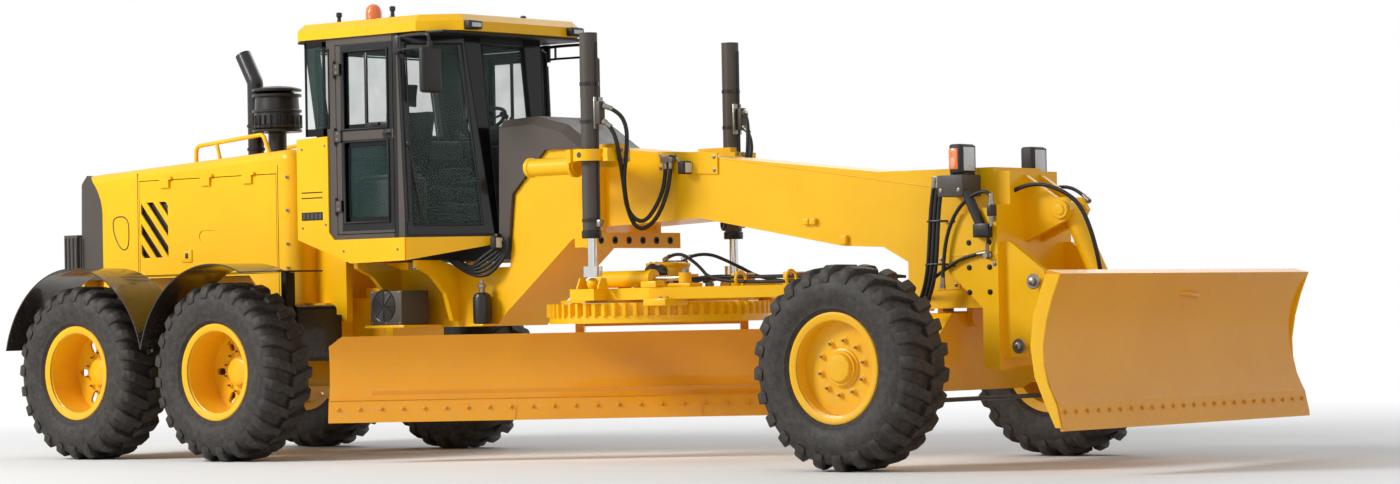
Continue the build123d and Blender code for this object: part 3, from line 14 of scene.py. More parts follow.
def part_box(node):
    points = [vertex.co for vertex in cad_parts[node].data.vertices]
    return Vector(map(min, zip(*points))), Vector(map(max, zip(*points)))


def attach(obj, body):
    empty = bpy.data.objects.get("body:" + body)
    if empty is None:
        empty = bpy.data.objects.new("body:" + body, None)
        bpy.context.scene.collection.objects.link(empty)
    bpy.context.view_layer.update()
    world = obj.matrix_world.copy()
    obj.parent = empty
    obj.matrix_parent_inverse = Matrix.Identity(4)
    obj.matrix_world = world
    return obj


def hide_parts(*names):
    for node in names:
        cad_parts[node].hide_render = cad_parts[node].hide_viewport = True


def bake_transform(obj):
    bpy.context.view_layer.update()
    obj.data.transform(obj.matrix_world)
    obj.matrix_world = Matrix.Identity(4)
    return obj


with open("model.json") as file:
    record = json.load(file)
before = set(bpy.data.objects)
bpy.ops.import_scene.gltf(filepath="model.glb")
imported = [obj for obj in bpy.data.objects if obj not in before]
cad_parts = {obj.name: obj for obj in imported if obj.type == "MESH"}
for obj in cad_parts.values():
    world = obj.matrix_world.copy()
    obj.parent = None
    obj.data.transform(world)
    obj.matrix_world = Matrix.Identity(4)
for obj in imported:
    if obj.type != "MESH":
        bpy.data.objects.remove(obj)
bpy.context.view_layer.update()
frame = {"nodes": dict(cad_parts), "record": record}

# %% [markdown]
# The whole machine is laid out from a few stations that the CAD nodes give: the wheels and the lift
# cylinders. Reading them from the frame keeps every added piece on its part.

# %% Stations


def box(node):
    """A node's lowest and highest corner at rest."""
    low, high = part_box(node)
    return Vector(low), Vector(high)


def middle(node):
    low, high = box(node)
    return (low + high) / 2


TANDEM_X = (middle("tyre_rear_left_back").x + middle("tyre_rear_left_front").x) / 2
FRONT_AXLE_X = middle("tyre_front_left").x
TYRE_R = (box("tyre_front_left")[1].z - box("tyre_front_left")[0].z) / 2
LIFT_X = middle("lift_barrel_left").x
LIFT_Y = middle("lift_barrel_left").y
SIDES = (("right", -1), ("left", 1))
UP = Vector((0, 0, 1))
print(f"tandem at x {TANDEM_X:.3f}, front axle at x {FRONT_AXLE_X:.3f}, tyre radius {TYRE_R:.3f}")

# %% [markdown]
# The camera stands low and to the front right, far away with a long lens, so the machine looks
# nearly flat. Its place, heading, pitch and roll are plain numbers; the matrix is built from them.

# %% Camera
CAMERA_PLACE = Vector((TANDEM_X + 20.587, -19.605, 1.013))
CAMERA_HEADING = radians(39.794)
CAMERA_PITCH = radians(1.131)
CAMERA_ROLL = radians(-1.093)
LENS = 93.9

look = Vector((-sin(CAMERA_HEADING) * cos(CAMERA_PITCH), cos(CAMERA_HEADING) * cos(CAMERA_PITCH),
               sin(CAMERA_PITCH)))
right = look.cross(Vector((0, 0, 1))).normalized()
up = right.cross(look)
right_rolled = right * cos(CAMERA_ROLL) + up * sin(CAMERA_ROLL)
up_rolled = up * cos(CAMERA_ROLL) - right * sin(CAMERA_ROLL)
camera_data = bpy.data.cameras.new("camera")
camera_data.lens = LENS
camera_data.sensor_width = 36
camera = bpy.data.objects.new("camera", camera_data)
bpy.context.scene.collection.objects.link(camera)
camera.matrix_world = Matrix.Translation(CAMERA_PLACE) @ Matrix((right_rolled, up_rolled,
    -look)).transposed().to_4x4()
camera_data.clip_end = 200
bpy.context.scene.camera = camera

# %% [markdown]
# A finish is a small node tree. Writing its maths as Python keeps it readable: `Wire` wraps one
# output socket and overloads the operators, and `Finish` makes nodes and joins them.

# %% Shader maths


class Wire:
    """One output in a finish's node tree, so that sums on it add Math nodes."""

    def __init__(self, finish, socket):
        self.finish = finish
        self.socket = socket

    def math(self, operation, first, second):
        return self.finish.node("ShaderNodeMath", {"operation": operation}, {0: first, 1: second})

    def __add__(self, other):
        return self.math("ADD", self, other)

    __radd__ = __add__

    def __rsub__(self, other):
        return self.math("SUBTRACT", other, self)

    def __mul__(self, other):
        return self.math("MULTIPLY", self, other)

    __rmul__ = __mul__

    def __gt__(self, other):
        return self.math("GREATER_THAN", self, other)


class Finish:
    """A material whose nodes are made and joined by one method."""

    def __init__(self, name, roughness=0.5, metallic=0.0, coat=0.0, specular=0.5):
        self.material = bpy.data.materials.new(name)
        self.material.use_nodes = True
        self.tree = self.material.node_tree
        self.shader = self.tree.nodes["Principled BSDF"]
        self.shader.inputs["Roughness"].default_value = roughness
        self.shader.inputs["Metallic"].default_value = metallic
        self.shader.inputs["Coat Weight"].default_value = coat
        self.shader.inputs["Coat Roughness"].default_value = 0.08
        self.shader.inputs["Specular IOR Level"].default_value = specular

    def node(self, kind, settings, sockets, output=0):
        made = self.tree.nodes.new(kind)
        for key, value in settings.items():
            setattr(made, key, value)
        for key, value in sockets.items():
            self.join(made.inputs[key], value)
        return Wire(self, made.outputs[output])

    def join(self, socket, value):
        if isinstance(value, Wire):
            self.tree.links.new(value.socket, socket)
        else:
            socket.default_value = value

    def place(self):
        return self.node("ShaderNodeTexCoord", {}, {}, "Object")

    def noise(self, scale, detail=3.0, roughness=0.55, stretch=(1, 1, 1)):
        spot = self.node("ShaderNodeMapping", {}, {"Vector": self.place(), "Scale": stretch})
        return self.node("ShaderNodeTexNoise", {}, {"Vector": spot, "Scale": scale, "Detail": detail,
            "Roughness": roughness})

    def height(self, low, high):
        """0 at height low, 1 at height high, straight between."""
        split = self.node("ShaderNodeSeparateXYZ", {}, {"Vector": self.place()}, "Z")
        return self.node("ShaderNodeMapRange", {}, {"Value": split, "From Min": low, "From Max": high})

    def band(self, value, low, high, to_low=0.0, to_high=1.0):
        limits = {"Value": value, "From Min": low, "From Max": high, "To Min": to_low, "To Max": to_high}
        return self.node("ShaderNodeMapRange", {}, limits)

    def mix(self, factor, first, second):
        return self.node("ShaderNodeMix", {"data_type": "RGBA"}, {0: factor, 6: first, 7: second}, 2)

    def bump(self, height, strength, distance):
        normal = self.node("ShaderNodeBump", {}, {"Height": height, "Strength": strength, "Distance": distance})
        self.join(self.shader.inputs["Normal"], normal)

    def colour(self, value):
        self.join(self.shader.inputs["Base Color"], value)

    def rough(self, value):
        self.join(self.shader.inputs["Roughness"], value)


def linear(hex_colour):
    """A colour as it is written on screen, made linear for the shader."""
    parts = [int(hex_colour[at:at + 2], 16) / 255 for at in (0, 2, 4)]
    return (*[part / 12.92 if part < 0.04 else ((part + 0.055) / 1.055) ** 2.4 for part in parts], 1)


# %% [markdown]
# Sprayed machine paint is smooth and glossy, with a fine orange peel. Road dust settles on the low
# parts and in faint cloudy patches, so dust is mixed in by height and by noise.

# %% Painted steel
DUST = linear("b3a488")


def paint(name, colour, shade, dusty=0.35, roughness=0.34, coat=0.12):
    made = Finish(name, roughness=roughness, coat=coat, specular=0.3)
    cloud = made.noise(1.3, 5.0, 0.6)
    tone = made.mix(made.band(cloud, 0.3, 0.7), linear(colour), linear(shade))
    low_down = 1 - made.height(0.15, 1.15)
    specks = made.band(made.noise(38, 4.0, 0.7), 0.42, 0.72)
    dust = low_down * specks * dusty
    made.colour(made.mix(dust, tone, DUST))
    made.rough(dust * 0.9 + made.band(made.noise(9, 3.0), 0.3, 0.7, roughness - 0.04, roughness + 0.06))
    made.bump(made.noise(260, 2.0), 0.05, 0.0006)
    return made.material


YELLOW = paint("yellow_paint", "fcc200", "f6b800")
# The blades' paint is the body's yellow made deeper and more orange: painted shade for their shaded faces, since
# the real blade paint is the same yellow as the body.
SHADED_BLADE_YELLOW = paint("blade_paint_with_painted_shade", "f2a600", "ea9c00", roughness=0.30, coat=0.3)
ORANGE_RIM = paint("rim_paint", "f8bd00", "f0b000", dusty=0.35)
GREY = paint("grey_paint", "544c45", "4a433d", dusty=0.3, roughness=0.5, coat=0.04)
BLACK = paint("black_paint", "1c1a19", "242120", dusty=0.25, roughness=0.38, coat=0.2)
FENDER = paint("fender_paint", "231d1b", "2e2623", dusty=0.25, roughness=0.22, coat=0.5)

# %% [markdown]
# Bare metals: worn bright steel on cutting edges, dark cast iron on joints, hard chrome on rods.

# %% Bare metal


def metal(name, colour, shade, roughness, metallic=1.0, grain=(1, 1, 1), bump=0.15):
    made = Finish(name, roughness=roughness, metallic=metallic)
    streaks = made.noise(60, 4.0, 0.6, grain)
    made.colour(made.mix(made.band(streaks, 0.3, 0.7), linear(colour), linear(shade)))
    made.rough(made.band(streaks, 0.25, 0.75, roughness - 0.06, roughness + 0.12))
    made.bump(streaks, bump, 0.0008)
    return made.material


EDGE_STEEL = metal("edge_steel", "7d7a76", "56524d", 0.42)
IRON = metal("cast_iron", "3a3836", "2a2827", 0.6, 0.7)
CHROME = metal("chrome", "d9d9d6", "cfcfca", 0.1, 1.0, (1, 1, 0.05), 0.02)
ZINC = metal("zinc_bolts", "9b968c", "827c72", 0.35)

# %% [markdown]
# Rubber and moulded plastic are dull. Tyre rubber greys with dust on the sidewall, and plastic has
# a fine leathery grain.

# %% Rubber, plastic, glass


def dull(name, colour, shade, roughness, grain_scale, bump, dust=0.0):
    made = Finish(name, roughness=roughness, specular=0.35)
    cloud = made.noise(6, 5.0, 0.65)
    tone = made.mix(made.band(cloud, 0.35, 0.7), linear(colour), linear(shade))
    specks = made.band(made.noise(25, 5.0, 0.7), 0.4, 0.75) * dust
    made.colour(made.mix(specks, tone, DUST))
    made.rough(made.band(cloud, 0.3, 0.7, roughness - 0.08, roughness + 0.08))
    made.bump(made.noise(grain_scale, 3.0), bump, 0.001)
    return made.material


TYRE = dull("tyre_rubber", "262322", "2d2927", 0.62, 90, 0.25, 0.10)
HOSE = dull("hose_rubber", "161616", "1f1e1d", 0.5, 300, 0.2)
PLASTIC = dull("moulded_plastic", "1d1c1c", "262424", 0.5, 420, 0.25)
GASKET = dull("window_gasket", "101010", "181818", 0.55, 200, 0.1)


def glazing(name, tint, alpha, roughness=0.02):
    made = Finish(name, roughness=roughness, coat=0.0, specular=0.35)
    haze = made.band(made.noise(3, 3.0), 0.3, 0.7, alpha - 0.03, alpha + 0.05)
    made.colour(linear(tint))
    made.join(made.shader.inputs["Alpha"], haze)
    return made.material


GLASS = glazing("cab_glass", "4d6a64", 0.13)

# %% [markdown]
# The cab is one steel frame, but only the posts beside the door are grey. Everything round the glass
# is black, outside and in, so one paint holds both and a mask by place chooses between them.

# %% Cab and door paint


def framed(name, inside_grey):
    """Grey paint where inside_grey(across, side, up) is 1, and gloss black elsewhere."""
    made = Finish(name, roughness=0.4, specular=0.3)
    place = made.place()
    across, side, up = [made.node("ShaderNodeSeparateXYZ", {}, {"Vector": place}, at) for at in range(3)]
    grey = inside_grey(across, side * side, up)
    cloud = made.band(made.noise(1.6, 5.0), 0.3, 0.7)
    made.colour(made.mix(grey, made.mix(cloud, linear("0c0d0d"), linear("141514")),
                         made.mix(cloud, linear("544c45"), linear("4a433d"))))
    made.rough(made.band(made.noise(9, 3.0), 0.3, 0.7, 0.34, 0.42) + grey * 0.1)
    made.bump(made.noise(260, 2.0), 0.05, 0.0006)
    return made.material


def between(value, low, high):
    """1 where the value lies between low and high."""
    return (value > low) * (1 - (value > high))


CAB_PAINT = framed("cab_paint", lambda x, y2, z: between(x, TANDEM_X + 1.388, TANDEM_X + 2.166) * (y2 > 0.795 ** 2)
                   * (1 - between(x, TANDEM_X + 2.06, TANDEM_X + 2.106)))
DOOR_PAINT = framed("door_paint", lambda x, y2, z: (y2 > 0.78 ** 2) * (1 - (x > TANDEM_X + 1.532) * (1 - between(z,
    2.328, 2.392)) * (z > 1.665)))

# %% [markdown]
# The CAD nodes keep their shape. Each gets the finish of its material slot, or its own if it has one;
# the two blades get a deeper, more orange yellow that is painted shade.

# %% Paint the CAD nodes
NODE_FINISHES = {"cab_frame": CAB_PAINT, "cab_door_right": DOOR_PAINT, "cab_door_left": DOOR_PAINT,
                 "moldboard": SHADED_BLADE_YELLOW,
                 "dozer_blade": SHADED_BLADE_YELLOW}
SLOT_FINISHES = {
    "yellow_paint": YELLOW,
    "grey_paint": GREY,
    "black_paint": BLACK,
    "fender_paint": FENDER,
    "rim_paint": ORANGE_RIM,
    "tyre_rubber": TYRE,
    "glass": GLASS,
    "plastic": PLASTIC,
    "chrome": CHROME,
    "steel": EDGE_STEEL,
    "iron": IRON,
}
for row in frame["record"]["subparts"]:
    node = frame["nodes"][row["node"]]
    node.data.materials.clear()
    node.data.materials.append(NODE_FINISHES.get(row["node"], SLOT_FINISHES[row["material_slot"]]))
print(len(frame["nodes"]), "CAD nodes painted")

# %% [markdown]
# A plain studio: a pale floor that runs far back, one large soft key from the front right, a fill and
# a rim light. The world lights softly; the camera, gloss and glass see it as plain white.

# %% Studio
FLOOR_PALE = 5.5  # metres from the middle where the floor starts to melt into white
FLOOR_WHITE = 13.0
SKY_STRENGTH = 0.40
bpy.ops.object.select_all(action="DESELECT")
bpy.ops.mesh.primitive_plane_add(size=160, location=(0, 0, 0))
floor = bpy.context.object
floor.name = "floor"
bpy.ops.object.transform_apply(location=True, rotation=True, scale=True)
floor_finish = Finish("floor", roughness=0.9, specular=0.1)
floor_finish.colour(linear("f2f2f0"))
reach = floor_finish.node("ShaderNodeVectorMath", {"operation": "LENGTH"}, {0: floor_finish.place()}, 1)
seen, mirrored, through = (floor_finish.node("ShaderNodeLightPath", {}, {}, ray)
                           for ray in ("Is Camera Ray", "Is Glossy Ray", "Is Transmission Ray"))
shown = seen + mirrored + through
far_white = floor_finish.band(reach, FLOOR_PALE, FLOOR_WHITE) * shown.math("MINIMUM", shown, 1)
glow = floor_finish.node("ShaderNodeEmission", {}, {"Color": (1, 1, 1, 1), "Strength": 1.0})
melt = floor_finish.node("ShaderNodeMixShader", {}, {0: far_white,
    1: Wire(floor_finish, floor_finish.shader.outputs[0]), 2: glow})
floor_finish.join(floor_finish.tree.nodes["Material Output"].inputs["Surface"], melt)
floor.data.materials.append(floor_finish.material)

world = bpy.data.worlds.new("studio")
bpy.context.scene.world = world
world.use_nodes = True
sky = world.node_tree
backdrop = sky.nodes["Background"]
backdrop.inputs["Color"].default_value = (0.95, 0.97, 1, 1)
backdrop.inputs["Strength"].default_value = SKY_STRENGTH
white = sky.nodes.new("ShaderNodeBackground")
white.inputs["Color"].default_value = (1, 1, 1, 1)
ray = sky.nodes.new("ShaderNodeLightPath")
chooser = sky.nodes.new("ShaderNodeMixShader")
ray_sum = ray.outputs["Is Camera Ray"]
for kind in ("Is Glossy Ray", "Is Transmission Ray"):
    adder = sky.nodes.new("ShaderNodeMath")
    adder.use_clamp = True
    sky.links.new(ray_sum, adder.inputs[0])
    sky.links.new(ray.outputs[kind], adder.inputs[1])
    ray_sum = adder.outputs[0]
sky.links.new(ray_sum, chooser.inputs[0])
sky.links.new(backdrop.outputs[0], chooser.inputs[1])
sky.links.new(white.outputs[0], chooser.inputs[2])
sky.links.new(chooser.outputs[0], sky.nodes["World Output"].inputs["Surface"])
bpy.context.scene.view_settings.view_transform = "Standard"


def lamp(name, place, aim, size, watts):
    data = bpy.data.lights.new(name, "AREA")
    data.size = size
    data.energy = watts
    made = bpy.data.objects.new(name, data)
    bpy.context.scene.collection.objects.link(made)
    made.location = place
    made.rotation_euler = (Vector(aim) - Vector(place)).to_track_quat("-Z", "Y").to_euler()


lamp("key", (-9, -15, 11), (0, 0, 1), 6, 3100)
lamp("fill", (15, -6, 6), (1, 0, 1), 8, 200)
lamp("rim", (-4, 12, 10), (0, 0, 1), 8, 500)

# %% [markdown]
# Every added piece starts as one of Blender's primitives. It is shaped in edit mode, baked so that
# its object sits at the origin, painted, and handed to the CAD body it moves with. These few
# helpers hold the steps that each piece repeats.

# %% Picking, baking and handing over


def spot(x, y, z):
    """A point from its distance ahead of the tandem's centre, its side and its height."""
    return Vector((TANDEM_X + x, y, z))


def bake():
    bpy.ops.object.transform_apply(location=True, rotation=True, scale=True)


def edit_all():
    bpy.ops.object.mode_set(mode="EDIT")
    bpy.ops.mesh.select_mode(type="VERT")
    bpy.ops.mesh.select_all(action="SELECT")


def leave():
    bpy.ops.object.mode_set(mode="OBJECT")


def pick_faces(chooser):
    """Opens the active piece with only the faces selected that the chooser takes by centre and normal."""
    bpy.ops.object.mode_set(mode="EDIT")
    bpy.ops.mesh.select_mode(type="FACE")
    bpy.ops.mesh.select_all(action="DESELECT")
    leave()
    for face in bpy.context.object.data.polygons:
        face.select = chooser(face.center, face.normal)
    bpy.ops.object.mode_set(mode="EDIT")


def hand_over(name, body, finish, smooth=32):
    """Names, smooths and paints the active piece. It rides on the CAD body, or on none if body is None."""
    piece = bpy.context.object
    piece.name = name
    bpy.ops.object.shade_smooth_by_angle(angle=radians(smooth))
    piece.data.materials.clear()
    piece.data.materials.append(finish)
    if body:
        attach(piece, body)
    return piece


def join(pieces):
    """One object from several, left active."""
    bpy.ops.object.select_all(action="DESELECT")
    for piece in pieces:
        piece.select_set(True)
    bpy.context.view_layer.objects.active = pieces[0]
    if len(pieces) > 1:
        bpy.ops.object.join()
    return bpy.context.object


def copy_of(model, matrix):
    """A copy with its own mesh, moved by the matrix."""
    twin = model.copy()
    twin.data = model.data.copy()
    twin.data.materials.clear()
    twin.data.transform(matrix)
    if matrix.determinant() < 0:
        twin.data.flip_normals()
    bpy.context.scene.collection.objects.link(twin)
    return twin


def facing(place, toward, roll=0.0):
    """The matrix that puts a model built round +Z at a place, with its +Z toward a direction."""
    turn = Vector(toward).to_track_quat("Z", "Y").to_matrix().to_4x4()
    return Matrix.Translation(place) @ turn @ Matrix.Rotation(roll, 4, "Z")


# %% Blocks, turned pieces and tubes


def block(name, low, high, body, finish, edge=0.004, steps=2, taper=None):
    """A box with rounded edges. taper shrinks the top face about its middle to (x, y) shares."""
    bpy.ops.object.select_all(action="DESELECT")
    low, high = [Vector(map(pick, low, high)) for pick in (min, max)]
    bpy.ops.mesh.primitive_cube_add(size=1, location=(low + high) / 2, scale=high - low)
    bake()
    if taper:
        pick_faces(lambda centre, normal: normal.z > 0.9)
        top = ((low.x + high.x) / 2, (low.y + high.y) / 2, high.z)
        bpy.ops.transform.resize(value=(*taper, 1), center_override=top)
        leave()
    edit_all()
    bpy.ops.mesh.bevel(offset=edge, segments=steps, affect="EDGES")
    leave()
    return hand_over(name, body, finish)


def turned(name, stations, start, toward, body, finish, sides=40, ring=False):
    """A turned piece. Each station is (distance along the axis, radius); a ring closes on its first one."""
    bpy.ops.object.select_all(action="DESELECT")
    fill = "NOTHING" if ring else "NGON"
    bpy.ops.mesh.primitive_circle_add(vertices=sides, radius=stations[0][1], fill_type=fill,
        location=(0, 0, stations[0][0]))
    bake()
    edit_all()
    for (near, r_near), (far, r_far) in zip(stations, stations[1:]):
        bpy.ops.mesh.extrude_region_move(TRANSFORM_OT_translate={"value": (0, 0, far - near)})
        share = r_far / r_near
        bpy.ops.transform.resize(value=(share, share, 1), center_override=(0, 0, far))
    bpy.ops.mesh.select_all(action="SELECT")
    bpy.ops.mesh.remove_doubles(threshold=0.00001)
    bpy.ops.mesh.normals_make_consistent(inside=False)
    leave()
    piece = bpy.context.object
    piece.data.transform(facing(start, toward))
    return hand_over(name, body, finish)


def tube(name, points, radius, body, finish, straight=False, closed=False, sides=3):
    """A tube along a smooth NURBS line, or along straight runs."""
    line = bpy.data.curves.new(name, "CURVE")
    line.dimensions = "3D"
    line.bevel_depth = radius
    line.bevel_resolution = sides
    line.resolution_u = 6
    line.use_fill_caps = True
    spline = line.splines.new("POLY" if straight else "NURBS")
    spline.points.add(len(points) - 1)
    for control, point in zip(spline.points, points):
        control.co = (*point, 1)
    spline.use_cyclic_u = closed
    if not straight:
        spline.order_u = 3
        spline.use_endpoint_u = not closed
    made = bpy.data.objects.new(name, line)
    bpy.context.scene.collection.objects.link(made)
    bpy.ops.object.select_all(action="DESELECT")
    made.select_set(True)
    bpy.context.view_layer.objects.active = made
    bpy.ops.object.convert(target="MESH")
    return hand_over(name, body, finish, 50)


# %% [markdown]
# Bolts are everywhere on such a machine. One head is modelled at unit size, a hexagon with bevelled
# corners on a washer, and each group is copies of it joined into one piece.

# %% Bolt heads
bpy.ops.object.select_all(action="DESELECT")
bpy.ops.mesh.primitive_cylinder_add(vertices=6, radius=1, depth=0.7, location=(0, 0, 0.5))
bake()
edit_all()
bpy.ops.mesh.bevel(offset=0.1, segments=1, affect="EDGES")
leave()
hexagon = bpy.context.object
bpy.ops.object.select_all(action="DESELECT")
bpy.ops.mesh.primitive_cylinder_add(vertices=16, radius=1.45, depth=0.2, location=(0, 0, 0.06))
bake()
pick_faces(lambda centre, normal: normal.z > 0.9)
bpy.ops.mesh.inset(thickness=0.15)
bpy.ops.transform.translate(value=(0, 0, 0.04))
leave()
bolt_model = join([hexagon, bpy.context.object])
for home in bolt_model.users_collection:
    home.objects.unlink(bolt_model)


def bolts(name, places, toward, size, body, finish=ZINC):
    """A bolt head at each place, facing toward, in one piece. size is the head's radius."""
    grow = Matrix.Scale(size, 4)
    heads = [copy_of(bolt_model, facing(place, toward, 0.7 * at) @ grow) for at, place in enumerate(places)]
    join(heads)
    return hand_over(name, body, finish)


def bolt_circle(centre, across, radius, count, start=0.0):
    """Places round a circle in the XZ plane."""
    steps = [start + 2 * pi * at / count for at in range(count)]
    return [Vector(centre) + Vector((radius * cos(step), across, radius * sin(step))) for step in steps]


# %% [markdown]
# The tyres carry deep chevron lugs for loose ground. The carcass is a turned ring with a stepped
# sidewall. One lug is extruded station by station from the tread's middle over the shoulder, and
# copied round both sides, half a pitch apart. One tyre is modelled and the other five are copies.

# %% One tyre
CARCASS = (  # across from the middle, radius
    (-0.150, 0.318), (-0.164, 0.330), (-0.172, 0.352), (-0.186, 0.362), (-0.196, 0.374), (-0.203, 0.380),
    (-0.202, 0.392), (-0.212, 0.415), (-0.2190, 0.452), (-0.2222, 0.490), (-0.2190, 0.530), (-0.2150, 0.540),
    (-0.2130, 0.560), (-0.2000, 0.590), (-0.172, 0.610), (-0.110, 0.620), (0.0, 0.622),
)
LUG_STATIONS = (  # out from the middle, top, bottom, slant round the tyre, half width on top, and at the foot
    (-0.012, 0.6545, 0.612, 0.006, 0.030, 0.040),
    (0.085, 0.6550, 0.612, -0.030, 0.033, 0.043),
    (0.160, 0.6500, 0.604, -0.052, 0.035, 0.044),
    (0.199, 0.6260, 0.580, -0.058, 0.036, 0.043),
    (0.2205, 0.5800, 0.556, -0.060, 0.033, 0.039),
    (0.2222, 0.5520, 0.540, -0.060, 0.029, 0.032),
)
LUGS = 24

carcass_line = CARCASS + tuple((-across, radius) for across, radius in reversed(CARCASS[:-1])) + CARCASS[:1]
carcass = turned("carcass", carcass_line, (0, 0, 0), (0, 1, 0), "wheel_front_right", TYRE, sides=96, ring=True)
carcass.data.materials.clear()

bpy.ops.object.select_all(action="DESELECT")
bpy.ops.mesh.primitive_plane_add(size=0.05, rotation=(radians(90), 0, 0), location=(0, LUG_STATIONS[0][0], 0.63))
bake()
edit_all()
for near, far in zip(LUG_STATIONS, LUG_STATIONS[1:]):
    bpy.ops.mesh.extrude_region_move(TRANSFORM_OT_translate={"value": (0, far[0] - near[0], 0)})
bpy.ops.mesh.select_all(action="SELECT")
bpy.ops.mesh.normals_make_consistent(inside=False)
leave()
lug = bpy.context.object
for vertex in lug.data.vertices:
    out, top, bottom, slant, wide_top, wide_foot = min(LUG_STATIONS, key=lambda row: abs(row[0] - vertex.co.y))
    upper = vertex.co.z > 0.63
    side = 1 if vertex.co.x > 0 else -1
    vertex.co = (slant + side * (wide_top if upper else wide_foot), out, top if upper else bottom)
edit_all()
bpy.ops.mesh.bevel(offset=0.0035, segments=1, affect="EDGES")
leave()
pitch = 2 * pi / LUGS
lugs = []
for at in range(LUGS):
    lugs.append(copy_of(lug, Matrix.Rotation(at * pitch, 4, "Y")))
    lugs.append(copy_of(lug, Matrix.Rotation((at + 0.5) * pitch, 4, "Y") @ Matrix.Scale(-1, 4, (0, 1, 0))))
bpy.data.objects.remove(lug)
tyre_model = join([carcass] + lugs)
print("one tyre:", len(tyre_model.data.polygons), "faces")

# %% Six tyres on their wheels
WHEELS = ("rear_right_back", "rear_right_front", "rear_left_back", "rear_left_front", "front_right", "front_left")
for at, name in enumerate(WHEELS):
    centre = middle(f"tyre_{name}")
    turn = Matrix.Rotation(pi if centre.y > 0 else 0, 4, "Z") @ Matrix.Rotation(0.37 * at, 4, "Y")
    join([copy_of(tyre_model, Matrix.Translation(centre) @ turn)])
    tyre = hand_over(f"lugged_tyre_{name}", f"wheel_{name}", TYRE)
    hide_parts(f"tyre_{name}")
bpy.data.objects.remove(tyre_model)

# %% [markdown]
# Each rim has a lock ring on its outer flange and a circle of wheel nuts. The front discs stand
# nearly flush, with a domed hub cap; the rear discs are sunk deep inside.

# %% Wheel nuts, hub caps and lock rings
LOCK_RING = ((0.0, 0.312), (0.006, 0.338), (0.012, 0.352), (0.016, 0.352), (0.018, 0.344), (0.018, 0.334),
             (0.008, 0.306), (0.0, 0.312))
HUB_CAP = ((0.0, 0.128), (0.008, 0.128), (0.012, 0.122), (0.014, 0.098), (0.042, 0.094), (0.054, 0.084),
           (0.058, 0.066), (0.058, 0.03))
for name in WHEELS:
    centre = middle(f"tyre_{name}")
    out = 1 if centre.y > 0 else -1
    body = f"wheel_{name}"
    ring_at = centre + Vector((0, out * 0.168, 0))
    turned(f"lock_ring_{name}", LOCK_RING, ring_at, (0, out, 0), body, ORANGE_RIM, sides=80, ring=True)
    if "front_" in name[:6]:
        face, nut_r, count = 0.08, 0.174, 10
        turned(f"hub_cap_{name}", HUB_CAP, centre + Vector((0, out * 0.079, 0)), (0, out, 0), body, ORANGE_RIM)
        cap_places = bolt_circle(centre, out * 0.13, 0.075, 8)
        bolts(f"cap_bolts_{name}", cap_places, (0, out, 0), 0.0075, body, ORANGE_RIM)
    else:
        face, nut_r, count = -0.09, 0.152, 12
        turned(f"hub_cap_{name}", ((0, 0.10), (0.02, 0.098), (0.028, 0.085), (0.028, 0.03)),
               centre + Vector((0, out * -0.062, 0)), (0, out, 0), body, ORANGE_RIM)
    places = bolt_circle(centre, out * face, nut_r, count, 0.2)
    bolts(f"wheel_nuts_{name}", places, (0, out, 0), 0.0185, body, ORANGE_RIM)
    studs = [copy_of(bolt_model, facing(place, (0, out, 0)) @ Matrix.Scale(0.009, 4) @ Matrix.Scale(5, 4,
        UP)) for place in places]
    join(studs)
    hand_over(f"wheel_studs_{name}", body, ZINC)
    valve = centre + Vector((0.24, out * (face + 0.01), -0.14))
    tube(f"valve_{name}", (valve, valve + Vector((0.03, out * 0.02, -0.02)),
                           valve + Vector((0.045, out * 0.045, -0.03))),
         0.005, body, ZINC)

# %% [markdown]
# The hood's side has a louvre field with dark slots, seams between its panels, a square latch, an
# oval catch and bolts down its front strip. The seams are thin dark lines laid in the surface.

# %% Hood trim
HOOD_Y = 0.58
for tag, side in SIDES:
    door = f"hood_door_{tag}"
    face = side * (HOOD_Y + 0.001)
    block(f"louvre_back_{tag}", spot(-0.93, side * 0.545, 1.49), spot(-0.56, side * 0.552, 2.0), door, BLACK)
    block(f"latch_{tag}", spot(-0.44, face, 1.485), spot(-0.33, side * 0.588, 1.585), door, YELLOW, 0.006)
    block(f"latch_keyhole_{tag}", spot(-0.40, side * 0.586, 1.515), spot(-0.37, side * 0.5915, 1.555), door, BLACK,
          0.002)
    catch = [(-1.245, 1.86), (-1.06, 1.86), (-1.05, 1.70), (-1.07, 1.60), (-1.15, 1.60), (-1.23, 1.72)]
    tube(f"catch_{tag}", [spot(x, side * 0.5795, z) for x, z in catch], 0.005, "rear", BLACK, closed=True)
    strip = [spot(0.72, side * 0.581, z) for z in (2.10, 1.85, 1.60, 1.42)]
    bolts(f"strip_bolts_{tag}", strip, (0, side, 0), 0.009, "rear")
    tube(f"strip_seam_{tag}", [spot(0.625, side * 0.5795, z) for z in (2.19, 1.16)], 0.003, "rear", BLACK,
         straight=True)
    tube(f"tail_seam_{tag}", [spot(-0.945, side * 0.5795, z) for z in (2.19, 1.38)], 0.003, "rear", BLACK,
         straight=True)
    tube(f"sill_seam_{tag}", [spot(x, side * 0.5795, 1.385) for x in (-1.35, 0.62)], 0.003, "rear", BLACK,
         straight=True)

